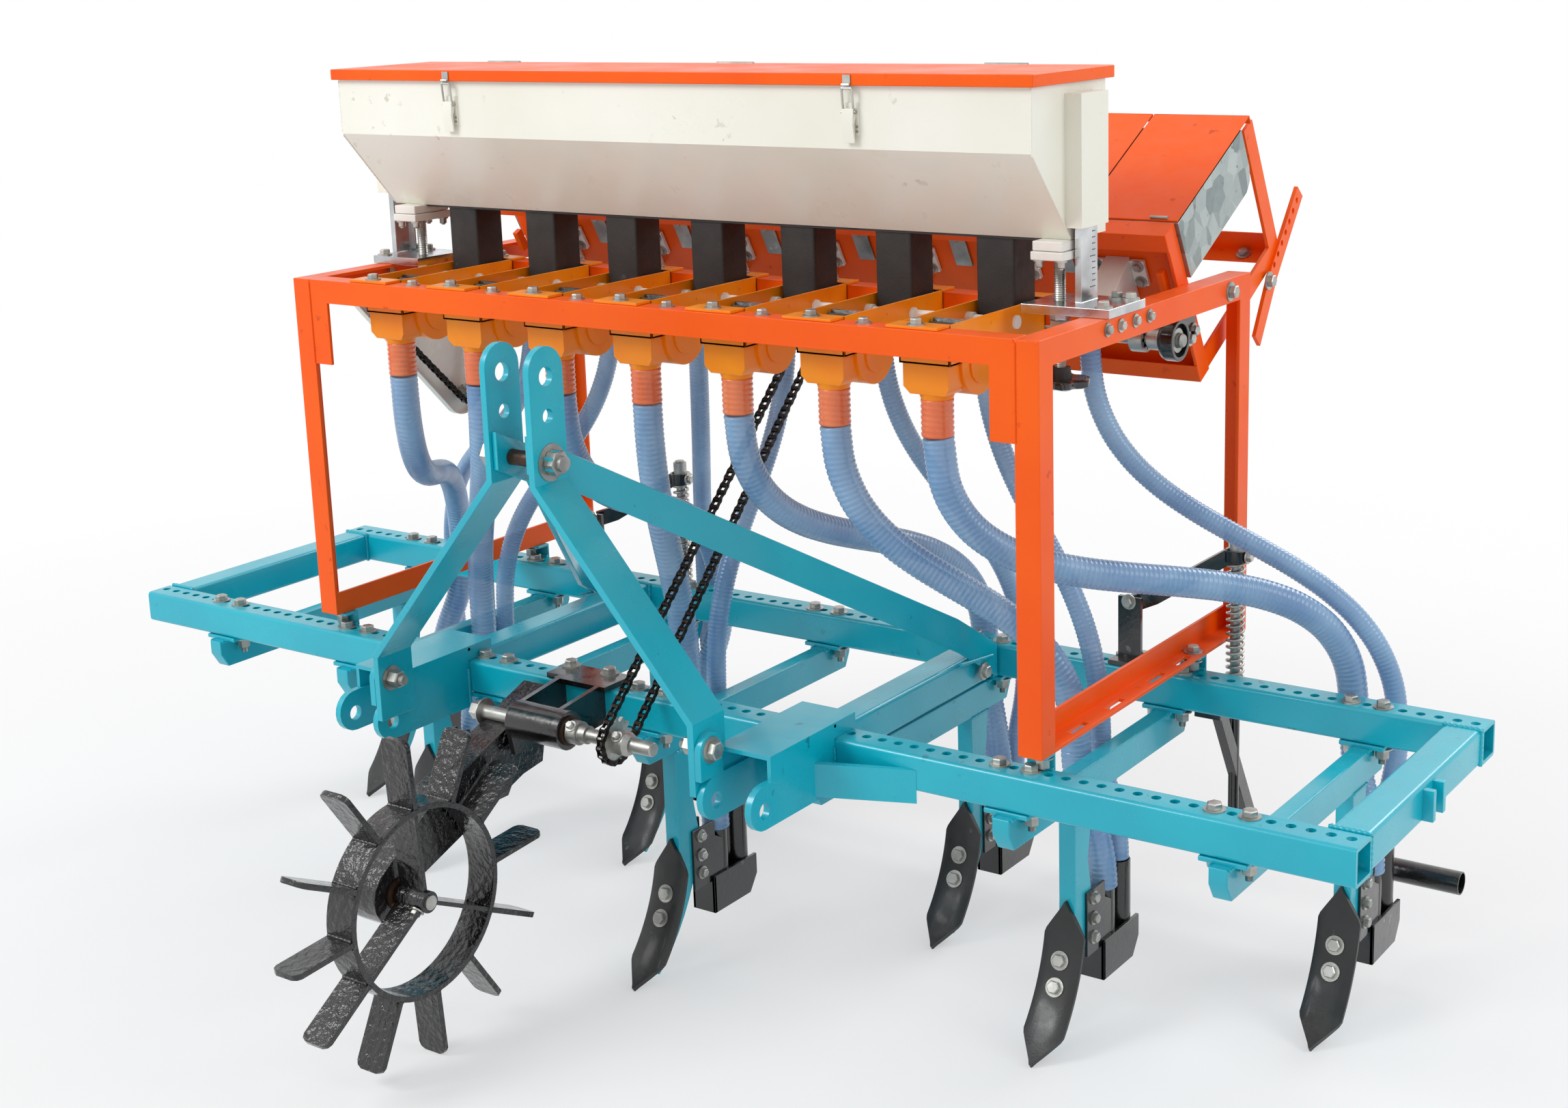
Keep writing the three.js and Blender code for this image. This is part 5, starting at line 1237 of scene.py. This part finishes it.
# ---- drive shaft ----
# The shaft at the arm's hinge takes the wheel's turn. Bright zinc, it carries a collar with a set screw,
# a toothed sprocket for the long chain, its hub, and a brown seal against the bearing.
shape = bmesh.new()
rod(shape, (ARM_LEFT - 14, DRIVE_Y, DRIVE_Z), (106, DRIVE_Y, DRIVE_Z), 10, 32)
rod(shape, (106, DRIVE_Y, DRIVE_Z), (108, DRIVE_Y, DRIVE_Z), 10, 32, 8.6)
rod(shape, (-38, DRIVE_Y, DRIVE_Z), (-22, DRIVE_Y, DRIVE_Z), 17, 40)
rod(shape, (-21.5, DRIVE_Y, DRIVE_Z), (-8, DRIVE_Y, DRIVE_Z), 13, 36)
sprocket_wheel(shape, DRIVE_CHAIN_X, DRIVE_Y, DRIVE_Z, 15)
rod(shape, (DRIVE_CHAIN_X + 2, DRIVE_Y, DRIVE_Z), (DRIVE_CHAIN_X + 24, DRIVE_Y, DRIVE_Z), 17, 40)
rod(shape, (DRIVE_CHAIN_X + 24, DRIVE_Y, DRIVE_Z), (DRIVE_CHAIN_X + 32, DRIVE_Y, DRIVE_Z), 17, 40, 13)
nut(shape, (ARM_LEFT - 3, DRIVE_Y, DRIVE_Z), (-1, 0, 0), 24, 3)
for x in (-30, DRIVE_CHAIN_X + 14):
    bolt(shape, (x, DRIVE_Y - 11, DRIVE_Z + 12), (0, -0.68, 0.73), 6, 10)
drive_shaft = piece("drive_shaft_steel", shape, zinc_steel, "drive_shaft")
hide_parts("drive_shaft")
shape = bmesh.new()
pipe(shape, (-44.5, DRIVE_Y, DRIVE_Z), (-40, DRIVE_Y, DRIVE_Z), 21, 10.2, 36)
piece("bearing_seal", shape, rust_brown, "frame")

# ---- leveller ----
# A black bar across the rear smooths the soil behind the boots. Each of its two links has a black cranked
# top strap, a rod and a zinc coil spring that lets it ride over clods.
shaped("leveller_bar", "leveller_bar_tube", black_paint, "frame", edge=0.8)
LINK_X, SPRING_Y, POST = (-348, 668), 552, -130
links_black, springs, link_bolts = (bmesh.new() for _ in range(3))
for x in LINK_X:
    block(links_black, x - 20, x + 20, 458, 506, 376.7, 384.7)
    prism(links_black, [(482, 380.7), (506, 380.7), (634, 152.3), (606, 152.3)], x - 7, x + 7)
    rod(links_black, (x, SPRING_Y, 195), (x, SPRING_Y, 360), 8, 24)
    strap = [(x + POST, 480, 523), (x + POST + 28, 506, 533), (x, SPRING_Y, 600)]
    rings = []
    for i, centre in enumerate(strap):
        before, after = strap[max(i - 1, 0)], strap[min(i + 1, 2)]
        side = Vector((after[1] - before[1], before[0] - after[0])).normalized() * 5
        a, b, z = centre
        rings.append([Vector((a - side.x, b - side.y, z - 13)), Vector((a + side.x, b + side.y, z - 13)),
                      Vector((a + side.x, b + side.y, z + 13)), Vector((a - side.x, b - side.y, z + 13))])
    skin(links_black, rings)
    rod(links_black, (x, SPRING_Y, 586), (x, SPRING_Y, 604), 17, 32)
    block(links_black, x + POST - 18, x + POST + 18, 471, 479, 439, 535)
    block(links_black, x + POST - 12, x + POST + 12, 477, 486, 513, 533)
    block(links_black, x + POST - 25, x + POST + 25, 452, 498, 435.3, 442)
    rod(springs, (x, SPRING_Y, 358), (x, SPRING_Y, 625), 7.6, 24)
    pipe(springs, (x, SPRING_Y, 598), (x, SPRING_Y, 622), 11, 3.2, 28)
    rod(springs, (x, SPRING_Y, 352), (x, SPRING_Y, 357), 15, 32)
    rings = []
    for i in range(14 * 22 + 1):
        turn = 2 * math.pi * i / 14
        z = 359.5 + (584 - 359.5) * i / (14 * 22)
        rings.append(ring((x + 12 * math.cos(turn), SPRING_Y + 12 * math.sin(turn), z),
                          (-12 * math.sin(turn), 12 * math.cos(turn), 1.6), 2.1, 8))
    skin(springs, rings)
    bolt(link_bolts, (x + POST, 471, 528), (0, -1, 0), 7, 14)
    bolt(link_bolts, (x + 17, SPRING_Y, 595), (1, 0, 0), 6, 13)
    for dx in (-17, 17):
        bolt(link_bolts, (x + POST + dx, 486, 442), (0, 0, 1), 7, 13)
    weld(links_black, [(x - 8, 612, 152), (x + 8, 612, 152)], 2.6)
links = piece("leveller_links", links_black, black_paint, "frame", edge=0.9)
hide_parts("leveller_link_left", "leveller_link_right")
piece("leveller_springs", springs, zinc_steel, "frame", sharp=60)
piece("leveller_bolts", link_bolts, zinc_steel, "frame")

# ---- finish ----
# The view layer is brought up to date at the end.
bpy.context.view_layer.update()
